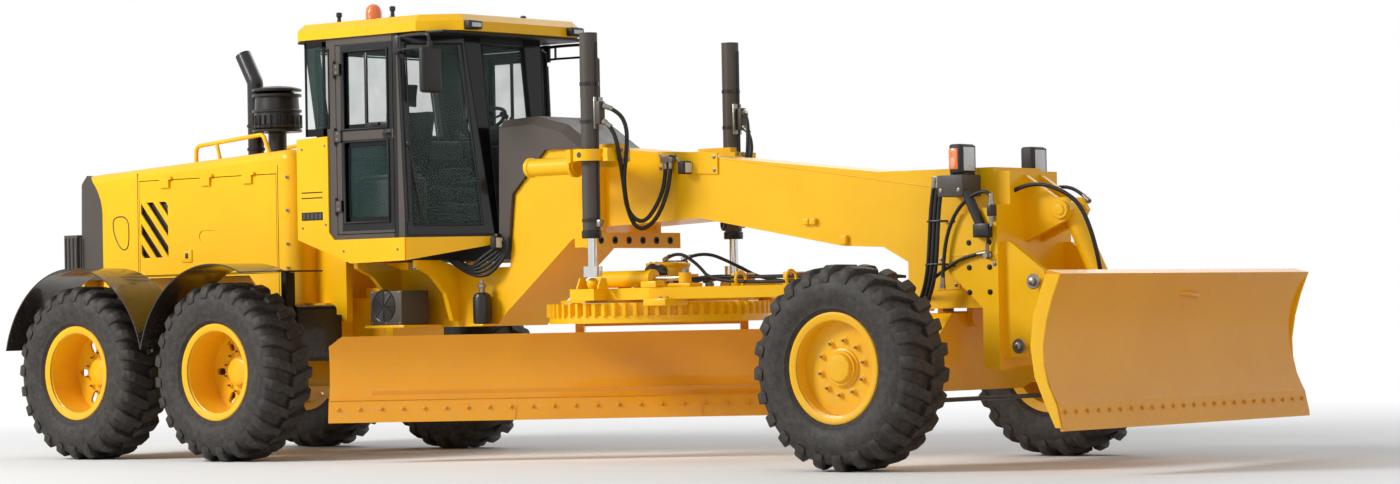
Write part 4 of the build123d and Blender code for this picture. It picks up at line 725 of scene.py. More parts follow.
EXHAUST = spot(-0.10, -0.11, 0)
INTAKE = spot(0.16, -0.13, 0)
for at, z in enumerate((2.47, 2.62, 2.74)):
    turned(f"intake_band_{at}", ((0, 0.186), (0.004, 0.190), (0.018, 0.190), (0.022, 0.186)), INTAKE + UP * z, UP,
           "rear", BLACK)
turned("intake_lid", ((0, 0.188), (0.012, 0.193), (0.020, 0.188), (0.036, 0.12), (0.042, 0.05)),
       INTAKE + UP * 2.783,
       UP, "rear", BLACK)
for at in range(24):
    step = 2 * pi * at / 24
    rib = INTAKE + Vector((0.187 * cos(step), 0.187 * sin(step), 0))
    tube(f"intake_rib_{at}", (rib + UP * 2.50, rib + UP * 2.60), 0.006, "rear", BLACK, straight=True, sides=1)
for at, z in enumerate((2.34, 2.52)):
    turned(f"exhaust_clamp_{at}", ((0, 0.063), (0.003, 0.069), (0.022, 0.069), (0.025, 0.063)), EXHAUST + UP * z,
           UP,
           "rear", IRON)

# %% [markdown]
# At the back, a slatted screen lets the cooling air through, with red lamps on the corner boxes and
# a row of ribs down their sides.

# %% Tail screen, ribs and lamps
tail_low, tail_high = box("tail_cap")
print("tail cap", tail_low, tail_high)
for at in range(14):
    z = 1.48 + at * 0.042
    block(f"tail_slat_{at}", (TANDEM_X - 1.668, -0.43, z), (TANDEM_X - 1.655, 0.43, z + 0.018), "rear", BLACK,
          0.003, 1)
block("tail_screen_frame_top", spot(-1.672, -0.46, 2.07), spot(-1.65, 0.46, 2.10), "rear", BLACK, 0.005)
block("tail_screen_frame_low", spot(-1.672, -0.46, 1.44), spot(-1.65, 0.46, 1.465), "rear", BLACK, 0.005)
for tag, side in SIDES:
    block(f"tail_screen_side_{tag}", spot(-1.672, side * 0.44, 1.46), spot(-1.65, side * 0.46, 2.08), "rear", BLACK,
          0.005)
    for at in range(5):
        x = -1.79 + at * 0.045
        block(f"tail_rib_{tag}_{at}", spot(x, side * 0.599, 1.45), spot(x + 0.016, side * 0.606, 1.71), "rear",
              BLACK, 0.002, 1)
    for at, (low, high, finish) in enumerate(((1.46, 1.55, "b01010"), (1.58, 1.67, "d06a08"))):
        lens = Finish(f"tail_lens_{tag}_{at}", roughness=0.12, coat=0.6)
        lens.colour(lens.mix(lens.band(lens.noise(220, 1.0), 0.45, 0.55), linear(finish), linear("ff8060")))
        block(f"tail_lamp_{tag}_{at}", spot(-1.802, side * 0.43, low), spot(-1.792, side * 0.57, high), "rear",
              lens.material, 0.006)

# %% [markdown]
# The cab is glass held in dark steel. Rubber gaskets run round every pane, the doors have a sliding
# pane and a handle, a wiper hangs over each slanted pane, and the roof has a dark underside.

# %% Gaskets and door furniture
CAB_WALL = 0.80
PANE_FOOT = 1.6
PANE_RISE = 1.48
NOSE_SLANT = 0.16  # how far the windscreen's top stands behind its foot
BACK_SLANT = 0.24  # the same for the rear pane


def cab_share(z):
    """0 at the foot of the cab's panes, 1 at their top."""
    return (z - PANE_FOOT) / PANE_RISE


def pane_edge(name, corners, body, radius=0.009):
    """A rubber gasket round a pane's corners."""
    tube(name, corners, radius, body, GASKET, straight=True, closed=True, sides=2)


def slanted(share, z, side, out=0.004):
    """A point on the cab's slanted corner: share goes from the door side, 0, to the windscreen, 1."""
    up_share = cab_share(z)
    rear = Vector((2.170 - 0.062 * up_share, 0.80))
    front = Vector((2.560 - NOSE_SLANT * up_share, 0.28 + 0.131 * up_share))
    flat = rear.lerp(front, share) + Vector((0.8, 0.6)) * out
    return spot(flat.x, side * flat.y, z)


for tag, side in SIDES:
    door = f"cab_door_{tag}"
    face = side * (CAB_WALL + 0.002)
    for part, low, high in (("lower", 1.725, 2.315), ("upper", 2.405, 2.975)):
        corners = [spot(x, face, z) for x, z in ((1.565, low), (2.015, low), (2.015, high), (1.565, high))]
        pane_edge(f"door_gasket_{part}_{tag}", corners, door, 0.011)
    block(f"sliding_frame_{tag}", spot(1.765, side * 0.772, 2.41), spot(1.79, side * 0.788, 2.97), door, BLACK,
          0.003)
    block(f"pane_sill_{tag}", spot(1.79, side * 0.776, 2.41), spot(2.01, side * 0.79, 2.45), door, BLACK, 0.004)
    block(f"door_lock_{tag}", spot(1.84, side * 0.79, 2.425), spot(1.92, side * 0.808, 2.447), door, PLASTIC, 0.004)
    block(f"handle_plate_{tag}", spot(1.965, side * 0.799, 2.33), spot(2.045, side * 0.806, 2.39), door, PLASTIC,
          0.005)
    tube(f"door_handle_{tag}", [spot(x, side * y, 2.36) for x,
                                y in ((1.975, 0.803), (1.975, 0.83), (2.035, 0.83), (2.035, 0.803))],
         0.007, door, PLASTIC)
    pane_edge(f"quarter_gasket_{tag}", [spot(x, side * 0.797, z) for x,
        z in ((1.29, 2.43), (1.41, 2.43), (1.41, 3.0), (1.29, 3.0))], "front")
    slant = [slanted(share, z, side) for share, z in ((0.10, 1.69), (0.885, 1.69), (0.955, 3.0), (0.13, 3.0))]
    pane_edge(f"slanted_gasket_{tag}", slant, "front", 0.010)
    bolts(f"hinge_bolts_{tag}", [spot(1.505, side * 0.811, z + up) for z in (1.85, 2.36, 2.85) for up in (-0.02,
        0.02)],
          (0, side, 0), 0.008, door)
    post = [slanted(0.035, z, side, 0.006) for z in (1.72, 2.9)]
    tube(f"corner_post_{tag}", post, 0.012, "front", GASKET, straight=True)
    top = slanted(0.10, 2.28, side, 0.03)
    foot = slanted(0.20, 1.74, side, 0.02)
    turned(f"wiper_hub_{tag}", ((0, 0.026), (0.02, 0.024), (0.03, 0.016)), slanted(0.10, 2.28, side, 0.004),
           (0.8, side * 0.6, 0),
           "front", PLASTIC, 20)
    tube(f"wiper_arm_{tag}", (top, top.lerp(foot, 0.4) + UP * 0.02, foot), 0.006, "front", BLACK)
    tube(f"wiper_blade_{tag}", (slanted(0.13, 2.10, side, 0.012), slanted(0.22, 1.71, side, 0.012)), 0.007, "front",
         HOSE, straight=True)
    skirt = [spot(x, side * 0.813, z) for x, z in ((1.13, 2.28), (1.13, 1.70), (1.37, 2.30), (1.37, 1.72),
        (1.55, 1.52), (2.10, 1.52))]
    bolts(f"skirt_bolts_{tag}", skirt, (0, side, 0), 0.007, "front")
    for at, z in enumerate((1.955, 1.915)):
        block(f"skirt_slot_{tag}_{at}", spot(1.12, side * 0.811, z), spot(1.34, side * 0.8135, z + 0.009), "front",
              BLACK, 0.001, 1)
    block(f"skirt_grille_{tag}", spot(1.12, side * 0.811, 1.755), spot(1.34, side * 0.8135, 1.815), "front", BLACK,
          0.003, 1)
    for at in range(5):
        x = 1.135 + 0.042 * at
        block(f"skirt_louvre_{tag}_{at}", spot(x, side * 0.812, 1.765), spot(x + 0.026, side * 0.8165, 1.806),
              "front", GREY, 0.002, 1)

windscreen = [(2.560 - NOSE_SLANT * cab_share(z), y, z) for y,
              z in ((-0.23, 1.69), (0.23, 1.69), (0.23, 3.0), (-0.23, 3.0))]
pane_edge("windscreen_gasket", [spot(x + 0.003, y, z) for x, y, z in windscreen], "front")
rear_pane = [(1.30 - BACK_SLANT * cab_share(z), y, z) for y,
             z in ((-0.59, 2.41), (0.59, 2.41), (0.59, 3.0), (-0.59, 3.0))]
pane_edge("rear_gasket", [spot(x - 0.003, y, z) for x, y, z in rear_pane], "front")
block("roof_lining", spot(1.07, -0.78, 3.060), spot(2.56, 0.78, 3.079), "front", PLASTIC, 0.006)
for at, (x, y) in enumerate(((1.35, -0.62), (1.98, -0.70), (1.98, 0.70))):
    turned(f"roof_fitting_{at}", ((0, 0.03), (0.01, 0.03), (0.016, 0.016), (0.05, 0.014), (0.06, 0.022),
                                  (0.085, 0.022), (0.09, 0.012)),
           spot(x, y, 3.198), UP, "front", BLACK, 20)

# %% [markdown]
# Inside the cab stands the operator's place: a rubber mat, a sprung seat with a padded cushion and
# back, a console with the steering wheel and a fan of thin levers. The seat is sewn in panels.

# %% Cloth for the seat
SEAT = Finish("seat_cloth", roughness=0.85, specular=0.2)
weave = SEAT.node("ShaderNodeTexChecker", {}, {"Vector": SEAT.place(), "Scale": 420})
SEAT.colour(SEAT.mix(SEAT.band(SEAT.noise(14), 0.3, 0.7), linear("232427"), linear("303236")))
SEAT.bump(SEAT.node("ShaderNodeSeparateColor", {}, {"Color": weave}), 0.4, 0.0006)


def cushion(name, low, high, crown, channels, body, lean=0.0):
    """A crowned pad: its sides pull in between the corners, and sewn channels cross it."""
    bpy.ops.object.select_all(action="DESELECT")
    low, high = Vector(low), Vector(high)
    bpy.ops.mesh.primitive_cube_add(size=2, location=(0, 0, 0))
    edit_all()
    bpy.ops.mesh.subdivide(number_cuts=15)
    leave()
    pad = bpy.context.object
    half = (high - low) / 2
    for vertex in pad.data.vertices:
        u, v, w = vertex.co
        pull = 1 - 0.06 * (1 - min(abs(u), abs(v)) ** 2) * (abs(u) > 0.9 or abs(v) > 0.9)
        puff = (1 - u * u) * (1 - v * v)
        seam = sum(0.012 * max(0, 1 - abs(u - place) * 9) for place in channels)
        rise = crown * sqrt(puff) - seam if w > 0.9 else 0
        corner = 1 - 0.10 * max(0, abs(w) - 0.6)
        vertex.co = (u * half.x * pull * corner, v * half.y * pull * corner, w * half.z + rise)
    bpy.ops.object.modifier_add(type="SUBSURF")
    pad.modifiers[-1].levels = pad.modifiers[-1].render_levels = 1
    bpy.ops.object.modifier_apply(modifier=pad.modifiers[-1].name)
    pad.data.transform(Matrix.Translation((low + high) / 2) @ Matrix.Rotation(lean, 4, "Y"))
    made = hand_over(name, body, SEAT.material, 60)
    return made


# %% Seat, console, wheel and levers
mat = block("floor_mat", spot(1.42, -0.24, 1.62), spot(2.44, 0.24, 1.632), "front", HOSE, 0.004)
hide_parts("operator_station")
block("seat_base", spot(1.52, -0.17, 1.632), spot(1.88, 0.17, 1.70), "front", BLACK, 0.01)
for at in range(4):
    z = 1.70 + at * 0.035
    block(f"seat_bellows_{at}", spot(1.54, -0.15, z), spot(1.86, 0.15, z + 0.03), "front", HOSE, 0.012, 3)
block("seat_pan", spot(1.48, -0.22, 1.842), spot(1.93, 0.22, 1.872), "front", BLACK, 0.008)
cushion("seat_cushion", spot(1.46, -0.235, 1.868), spot(1.97, 0.235, 1.965), 0.03, (-0.45, 0.0, 0.45), "front")
cushion("seat_back", spot(1.14, -0.225, 2.245), spot(1.72, 0.225, 2.335), 0.028, (-0.4, 0.1, 0.5), "front",
        radians(-83))
cushion("head_rest", spot(1.30, -0.13, 2.665), spot(1.47, 0.13, 2.725), 0.02, (0.0,), "front", radians(-83))
for tag, side in SIDES:
    block(f"arm_rest_{tag}", spot(1.50, side * 0.245, 2.10), spot(1.80, side * 0.305, 2.14), "front", PLASTIC,
          0.014, 3)
    tube(f"head_post_{tag}", [spot(1.375, side * 0.06, 2.56), spot(1.370, side * 0.06, 2.64)], 0.006, "front",
         CHROME, straight=True)
block("console", spot(2.25, -0.13, 1.63), spot(2.41, 0.13, 2.28), "front", PLASTIC, 0.03, 3, taper=(0.7, 0.9))
block("dials", spot(2.27, -0.16, 2.28), spot(2.36, 0.16, 2.42), "front", PLASTIC, 0.02, 3, taper=(0.6, 0.9))
for at in range(3):
    turned(f"dial_{at}", ((0, 0.030), (0.006, 0.030), (0.008, 0.026)), spot(2.271, -0.08 + 0.08 * at, 2.36),
           (-1, 0, 0.25), "front",
           CHROME, 24)
COLUMN = Vector((-0.53, 0, 0.85)).normalized()
WHEEL_AT = spot(2.19, 0, 2.45)
tube("steering_column", (spot(2.29, 0, 2.29), WHEEL_AT), 0.024, "front", PLASTIC, straight=True)
rim_turn = facing(WHEEL_AT, COLUMN)
tube("steering_rim", [rim_turn @ Vector((0.19 * cos(a * pi / 8), 0.19 * sin(a * pi / 8), 0)) for a in range(16)],
     0.014, "front", HOSE,
     closed=True)
for at, angle in enumerate((0.3, 2.4, 4.6)):
    tube(f"steering_spoke_{at}", (WHEEL_AT, rim_turn @ Vector((0.188 * cos(angle), 0.188 * sin(angle), 0))), 0.009,
         "front", BLACK, straight=True)
turned("steering_boss", ((-0.02, 0.03), (0.0, 0.05), (0.016, 0.045), (0.022, 0.03)), WHEEL_AT, COLUMN, "front",
       PLASTIC, 24)
turned("steering_knob", ((0, 0.01), (0.02, 0.01), (0.03, 0.02), (0.05, 0.021), (0.06, 0.012)),
       rim_turn @ Vector((-0.15, -0.12, 0)),
       COLUMN, "front", PLASTIC, 20)
for tag, side in SIDES:
    for at in range(5):
        foot = spot(2.33 + 0.004 * at, side * (0.135 + 0.005 * at), 1.95)
        knob = spot(2.20 + 0.022 * at, side * (0.205 + 0.028 * at), 2.50 - 0.02 * at)
        tube(f"lever_{tag}_{at}", (foot, foot.lerp(knob, 0.6) + Vector((0.02, 0, 0)), knob), 0.005, "front", BLACK)
        turned(f"lever_knob_{tag}_{at}", ((0, 0.008), (0.012, 0.015), (0.028, 0.016), (0.038, 0.008)), knob, UP,
               "front", PLASTIC, 14)
for at, y in enumerate((-0.12, 0.0, 0.12)):
    block(f"pedal_{at}", spot(2.17, y - 0.035, 1.66), spot(2.20, y + 0.035, 1.76), "front", HOSE, 0.006)

# %% [markdown]
# The mirrors hang on bent tubes from the roof. Their housings are rounded shells with a bright
# glass set into the rear face.

# %% Mirrors
for tag, side in SIDES:
    housing = block(f"mirror_housing_{tag}", spot(2.472, side * 0.76, 2.625), spot(2.528, side * 0.955, 2.955),
                    "front", PLASTIC, 0.024, 4)
    if side < 0:
        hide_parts("mirrors")
    block(f"mirror_glass_{tag}", spot(2.4705, side * 0.785, 2.65), spot(2.474, side * 0.93, 2.93), "front", CHROME,
          0.001, 1)
    arm = ((2.12, 0.80, 3.04), (2.16, 0.83, 3.05), (2.47, 0.862, 3.05), (2.50, 0.86, 3.03), (2.50, 0.858, 2.95))
    tube(f"mirror_arm_{tag}", [spot(x, side * y, z) for x, y, z in arm], 0.012, "front", BLACK)
    lower = ((2.13, 0.81, 2.95), (2.17, 0.83, 2.955), (2.30, 0.845, 2.955), (2.48, 0.858, 2.955))
    tube(f"mirror_stay_{tag}", [spot(x, side * y, z) for x, y, z in lower], 0.009, "front", BLACK)
    tube(f"mirror_link_{tag}", [spot(2.18, side * 0.833, z) for z in (3.045, 2.955)], 0.009, "front", BLACK,
         straight=True)
    block(f"mirror_mount_{tag}", spot(2.09, side * 0.795, 2.93), spot(2.145, side * 0.82, 3.06), "front", BLACK,
          0.004)
    turned(f"mirror_clamp_{tag}", ((0, 0.02), (0.05, 0.02)), spot(2.50, side * 0.858, 2.945), UP, "front", PLASTIC,
           20)

# %% [markdown]
# Work lamps are black boxes with a clear lens, fine ribs inside it and, on the nose, an amber side
# marker. The beacon is an amber dome on a black foot.

# %% Lenses
CLEAR_LENS = Finish("clear_lens", roughness=0.06, coat=0.8)
ribs = CLEAR_LENS.node("ShaderNodeTexWave", {"bands_direction": "Z"}, {"Vector": CLEAR_LENS.place(), "Scale": 60},
                       1)
CLEAR_LENS.colour(CLEAR_LENS.mix(CLEAR_LENS.band(ribs, 0.2, 0.8), linear("9fa9b3"), linear("f2f5f7")))
CLEAR_LENS.bump(ribs, 0.4, 0.002)
AMBER = Finish("amber_lens", roughness=0.1, coat=0.8)
amber_ribs = AMBER.node("ShaderNodeTexWave", {"bands_direction": "Z"}, {"Vector": AMBER.place(), "Scale": 45}, 1)
AMBER.colour(AMBER.mix(AMBER.band(amber_ribs, 0.2, 0.8), linear("e04a04"), linear("ff9424")))
AMBER.bump(amber_ribs, 0.5, 0.002)


def lamp_box(name, low, high, body, lens_deep=0.01, edge=0.018):
    """A lamp facing forward: a housing, a bezel frame standing proud, and a lens inside it."""
    low, high = Vector(low), Vector(high)
    housing = block(name, low, high - Vector((lens_deep, 0, 0)), body, PLASTIC, edge, 3)
    rim = 0.1 * (high.y - low.y)
    corners = [(low.y + rim, low.z + rim), (high.y - rim, low.z + rim), (high.y - rim, high.z - rim),
               (low.y + rim, high.z - rim)]
    tube(f"{name}_bezel", [(high.x - lens_deep, y, z) for y, z in corners], rim * 0.55, body, PLASTIC,
         straight=True, closed=True)
    block(f"{name}_lens", (high.x - lens_deep - 0.004, low.y + rim, low.z + rim),
          (high.x - 0.003, high.y - rim, high.z - rim), body,
          CLEAR_LENS.material, 0.003)
    return housing


# %% Nose lamps, roof lamps, beacon, work lamps
first = None
for tag, side in SIDES:
    bracket = block(f"lamp_bracket_{tag}", spot(6.66, side * 0.27, 1.74), spot(6.86, side * 0.48, 1.88), "front",
                    GREY, 0.006)
    first = first or bracket
    bolts(f"bracket_bolts_{tag}", [spot(x, side * 0.482, 1.78) for x in (6.69, 6.83)], (0, side, 0), 0.009, "front")
    near, far = sorted((side * 0.32, side * 0.49))
    lamp_box(f"nose_lamp_{tag}", spot(6.76, near + 0.002, 1.885), spot(6.87, far - 0.004, 2.078), "front")
    block(f"nose_marker_{tag}", spot(6.765, side * 0.484, 1.915), spot(6.835, side * 0.492, 2.05), "front",
          AMBER.material, 0.004)
    block(f"lamp_foot_{tag}", spot(6.75, side * 0.33, 1.878), spot(6.86, side * 0.46, 1.892), "front", BLACK, 0.003)
    near, far = sorted((side * 0.480, side * 0.615))
    lamp_box(f"roof_lamp_{tag}", spot(2.60, near, 3.084), spot(2.675, far, 3.148), "front", 0.008, 0.012)
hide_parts("lamps")
BEACON = spot(1.55, -0.46, 3.198)
turned("beacon_foot", ((0, 0.072), (0.02, 0.074), (0.03, 0.066), (0.035, 0.062)), BEACON, UP, "front", BLACK, 32)
turned("beacon_dome", ((0, 0.060), (0.05, 0.062), (0.085, 0.055), (0.104, 0.038), (0.112, 0.015)),
       BEACON + UP * 0.034, UP,
       "front", AMBER.material, 32)
lamp_box("beam_lamp", spot(4.37, -0.37, 1.98), spot(4.44, -0.275, 2.07), "front", 0.008, 0.012)
lamp_box("cab_lamp", spot(2.62, -0.40, 1.51), spot(2.68, -0.31, 1.60), "front", 0.008, 0.012)
block("cab_lamp_arm", spot(2.60, -0.34, 1.54), spot(2.64, -0.29, 1.62), "front", BLACK, 0.004)

# %% [markdown]
# Thin plates and covers are bolted on all over. A cover starts as a plane laid on its corners and
# grows to its thickness along its own normal.

# %% Covers and glass borders
BLACK_GLASS = Finish("border_glass", roughness=0.12, specular=0.25)
BLACK_GLASS.colour(BLACK_GLASS.mix(BLACK_GLASS.band(BLACK_GLASS.noise(4), 0.3, 0.7), linear("08090a"),
                                   linear("0e1011")))


def cover(name, corners, thick, body, finish, edge=0.002):
    """A four-cornered plate: corners run anticlockwise seen from outside, and it stands out from them."""
    bpy.ops.object.select_all(action="DESELECT")
    bpy.ops.mesh.primitive_plane_add(size=1)
    made = bpy.context.object
    for vertex, corner in zip(made.data.vertices, (corners[0], corners[1], corners[3], corners[2])):
        vertex.co = corner
    edit_all()
    bpy.ops.mesh.normals_make_consistent(inside=False)
    leave()
    outward = (Vector(corners[1]) - Vector(corners[0])).cross(Vector(corners[2]) - Vector(corners[1])).normalized()
    edit_all()
    bpy.ops.mesh.extrude_region_move(TRANSFORM_OT_translate={"value": outward * thick})
    bpy.ops.mesh.select_all(action="SELECT")
    bpy.ops.mesh.normals_make_consistent(inside=False)
    bpy.ops.mesh.bevel(offset=edge, segments=1, affect="EDGES")
    leave()
    return hand_over(name, body, finish)


BORDERS = (("low", 0.03, 1.0, 1.625, 1.70), ("high", 0.03, 1.0, 2.995, 3.062), ("rear", 0.03, 0.11, 1.70, 2.995),
           ("front", 0.89, 1.0, 1.70, 2.995))
for tag, side in SIDES:
    for part, near, far, low, high in BORDERS:
        corners = [slanted(near, low, side, 0.001), slanted(far, low, side, 0.001), slanted(far, high, side, 0.001),
                   slanted(near, high, side, 0.001)]
        if side > 0:
            corners.reverse()
        cover(f"pane_border_{part}_{tag}", corners, 0.004, "front", BLACK_GLASS.material, 0.001)
    edge = [spot(2.562 - NOSE_SLANT * cab_share(z), side * (0.28 + 0.131 * cab_share(z)), z) for z in (1.63, 3.06)]
    near = [Vector((point.x, side * 0.236, point.z)) for point in edge]
    corners = [edge[0], near[0], near[1], edge[1]] if side < 0 else [near[0], edge[0], edge[1], near[1]]
    cover(f"screen_border_{tag}", corners, 0.004, "front", BLACK_GLASS.material, 0.001)

FRIT = 0.042
for tag, side in SIDES:
    near, far = side * 0.779, side * 0.785
    for part, low, high in (("lower", 1.72, 2.32), ("upper", 2.40, 2.98)):
        strips = (("foot", 1.56, 2.02, low, low + FRIT), ("head", 1.56, 2.02, high - FRIT, high),
                  ("rear", 1.56, 1.56 + FRIT, low, high),
                  ("front", 2.02 - FRIT / 2, 2.02, low, high))
        for end, back, ahead, under, over in strips:
            block(f"door_border_{part}_{end}_{tag}", spot(back, near, under), spot(ahead, far, over),
                  f"cab_door_{tag}", BLACK_GLASS.material, 0.001, 1)
    rear, ahead, low, high = 1.170, 1.386, 2.37, 3.062
    face, outer = side * 0.803, side * 0.809
    block(f"quarter_pane_{tag}", spot(rear + 0.02, face, low + 0.03), spot(ahead - 0.02, side * 0.807, high - 0.03),
          "front", GLASS, 0.001, 1)
    for end, back, front_end, under, over in (("foot", rear, ahead, low, low + 0.055),
            ("head", rear, ahead, high - 0.04, high),
                                              ("rear", rear, rear + 0.022, low, high),
                                              ("front", ahead - 0.03, ahead, low, high)):
        block(f"quarter_border_{end}_{tag}", spot(back, face, under), spot(front_end, outer, over), "front",
              BLACK_GLASS.material, 0.001, 1)
    block(f"side_console_{tag}", spot(1.46, side * 0.40, 1.625), spot(2.02, side * 0.60, 2.05), "front", PLASTIC,
          0.03, 3)
    block(f"console_top_{tag}", spot(1.55, side * 0.42, 2.052), spot(1.98, side * 0.58, 2.075), "front", GREY, 0.01)
block("rear_shelf", spot(1.18, -0.62, 2.20), spot(1.42, 0.62, 2.36), "front", PLASTIC, 0.03, 3)

# %% [markdown]
# The lift cylinders: a gland nut where the chrome rod leaves the barrel, a port block with a steel
# pipe up its front, and clamps, which ride on the barrel and tilt with it. The boot round the ball
# rides on the drawbar; the accumulators' ends and the yoke bolts ride on the front frame.

# %% Lift cylinders
for tag, side in SIDES:
    barrel = f"lift_barrel_{tag}"
    at = Vector((LIFT_X, side * LIFT_Y, 0))
    turned(f"gland_{tag}", ((0, 0.040), (0, 0.066), (0.010, 0.070), (0.05, 0.070), (0.055, 0.064)), at + UP * 1.548,
           UP,
           barrel, BLACK, 36)
    for number, z in enumerate((1.66, 2.34, 2.60)):
        turned(f"barrel_band_{tag}_{number}", ((0, 0.0625), (0.002, 0.067), (0.022, 0.067), (0.024, 0.0625)),
               at + UP * z, UP,
               barrel, BLACK, 36)
    turned(f"barrel_cap_{tag}", ((0, 0.0625), (0.012, 0.058), (0.016, 0.03)), at + UP * 2.952, UP, barrel, BLACK,
           36)
    along = Vector((0.0735, 0, 0))
    block(f"port_low_{tag}", at + Vector((0.052, -0.022, 1.625)), at + Vector((0.095, 0.022, 1.675)), barrel, ZINC,
          0.005)
    tube(f"barrel_pipe_{tag}", (at + along + UP * 1.66, at + along + UP * 2.90), 0.007, barrel, BLACK,
         straight=True)
    eye = Vector((LIFT_X, side * LIFT_Y, 1.235))
    turned(f"ball_boot_{tag}", ((0.0, 0.030), (0.004, 0.058), (0.02, 0.062), (0.026, 0.050), (0.034, 0.060),
                                (0.042, 0.046)),
           eye - UP * 0.085, UP, "drawbar", HOSE, 30)
    turned(f"accumulator_end_{tag}", ((0, 0.062), (0.01, 0.070), (0.035, 0.070), (0.045, 0.062)),
           spot(3.28, side * 0.69, 2.06), (1, 0, 0),
           "front", YELLOW, 36)
    turned(f"accumulator_flange_{tag}", ((0, 0.062), (0.004, 0.083), (0.030, 0.083), (0.034, 0.062)),
           spot(3.70, side * 0.69, 2.06), (1, 0, 0),
           "front", YELLOW, 36)
    bolts(f"yoke_bolts_{tag}", [spot(4.122, side * y, z) for y in (0.60, 0.66) for z in (2.085, 2.155)], (1, 0, 0),
          0.010, "front")

# %% [markdown]
# Six dark flanged sleeves stand in the lock bar's row of holes.

# %% Lock bar holes
LOCK_FIRST_Y = -0.375
LOCK_PITCH = 0.15
for at in range(6):
    y = LOCK_FIRST_Y + LOCK_PITCH * at
    turned(f"lock_bush_{at}", ((0, 0.0135), (0, 0.026), (0.005, 0.026), (0.006, 0.0205), (0.048, 0.0205),
                               (0.048, 0.0135), (0, 0.0135)), spot(3.670, y, 1.545), (-1, 0, 0),
           "front", HOSE, 24, ring=True)

# %% [markdown]
# Black hydraulic hoses run in fitted loops between steel couplings. Each is one smooth line from
# coupling to coupling, with a crimped ferrule at both ends. The loops at the lift cylinders cross a
# joint, so they ride on no body.

# %% Hoses


def hose(name, points, radius, body):
    """A fitted hose with a ferrule and a nut on each end."""
    made = [tube(name, points, radius, body, HOSE)]
    for tag, end, inner in (("a", points[0], points[1]), ("b", points[-1], points[-2])):
        toward = Vector(inner) - Vector(end)
        made.append(turned(f"{name}_ferrule_{tag}", ((-0.012, radius * 1.5), (0.012, radius * 1.5),
            (0.014, radius * 1.25), (0.06, radius * 1.2)),
                           end, toward, body, ZINC, 14))
    return made


for tag, side in SIDES:
    barrel, yoke = f"lift_barrel_{tag}", f"lift_yoke_{tag}"
    at = Vector((LIFT_X, side * LIFT_Y, 0))
    block(f"valve_plate_{tag}", at + Vector((0.058, side * -0.06, 2.30)), at + Vector((0.072, side * 0.03, 2.52)),
          barrel, ZINC, 0.003)
    block(f"valve_body_{tag}", at + Vector((0.072, -0.030, 2.33)), at + Vector((0.118, 0.030, 2.49)), barrel, GREY,
          0.008)
    loops = (("near", ((4.06, 0.765, 2.455), (4.13, 0.70, 2.42), (4.175, 0.66, 2.31), (4.165, 0.66, 2.13),
                       (4.12, 0.649, 1.93), (4.04, 0.50, 1.69),
                       (4.10, 0.45, 1.59), (4.20, 0.38, 1.68), (4.275, 0.33, 1.92), (4.265, 0.31, 2.08))),
             ("far", ((4.06, 0.765, 2.345), (4.12, 0.745, 2.30), (4.155, 0.728, 2.14), (4.09, 0.607, 1.90),
                      (4.04, 0.52, 1.73), (4.115, 0.45, 1.64),
                      (4.18, 0.38, 1.75), (4.235, 0.33, 1.93), (4.215, 0.31, 2.08))))
    block(f"beam_port_{tag}", spot(4.185, side * 0.271, 2.065), spot(4.295, side * 0.335, 2.12), "front", ZINC,
          0.006)
    for which, points in loops:
        for piece in hose(f"saddle_hose_{which}_{tag}", [spot(x, side * y, z) for x, y, z in points], 0.015, None):
            spot(4.10, side * 0.40, 1.90)
            spot(4.10, side * 0.66, 1.90)
            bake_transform(piece)
cover("beam_cover", [spot(4.12, -0.271, 2.00), spot(4.66, -0.271, 1.97), spot(4.66, -0.271, 2.12),
                     spot(4.12, -0.271, 2.15)], 0.012,
      "front", YELLOW, 0.003)
bolts("beam_cover_bolts", [spot(x, -0.284, z) for x, z in ((4.15, 2.12), (4.15, 2.03), (4.63, 2.09), (4.63, 2.00))],
      (0, -1, 0), 0.010, "front")
hose("beam_lamp_lead", [spot(4.20, -0.29, 2.06), spot(4.26, -0.33, 2.12), spot(4.34, -0.34, 2.10),
                        spot(4.37, -0.325, 2.05)], 0.008, "front")
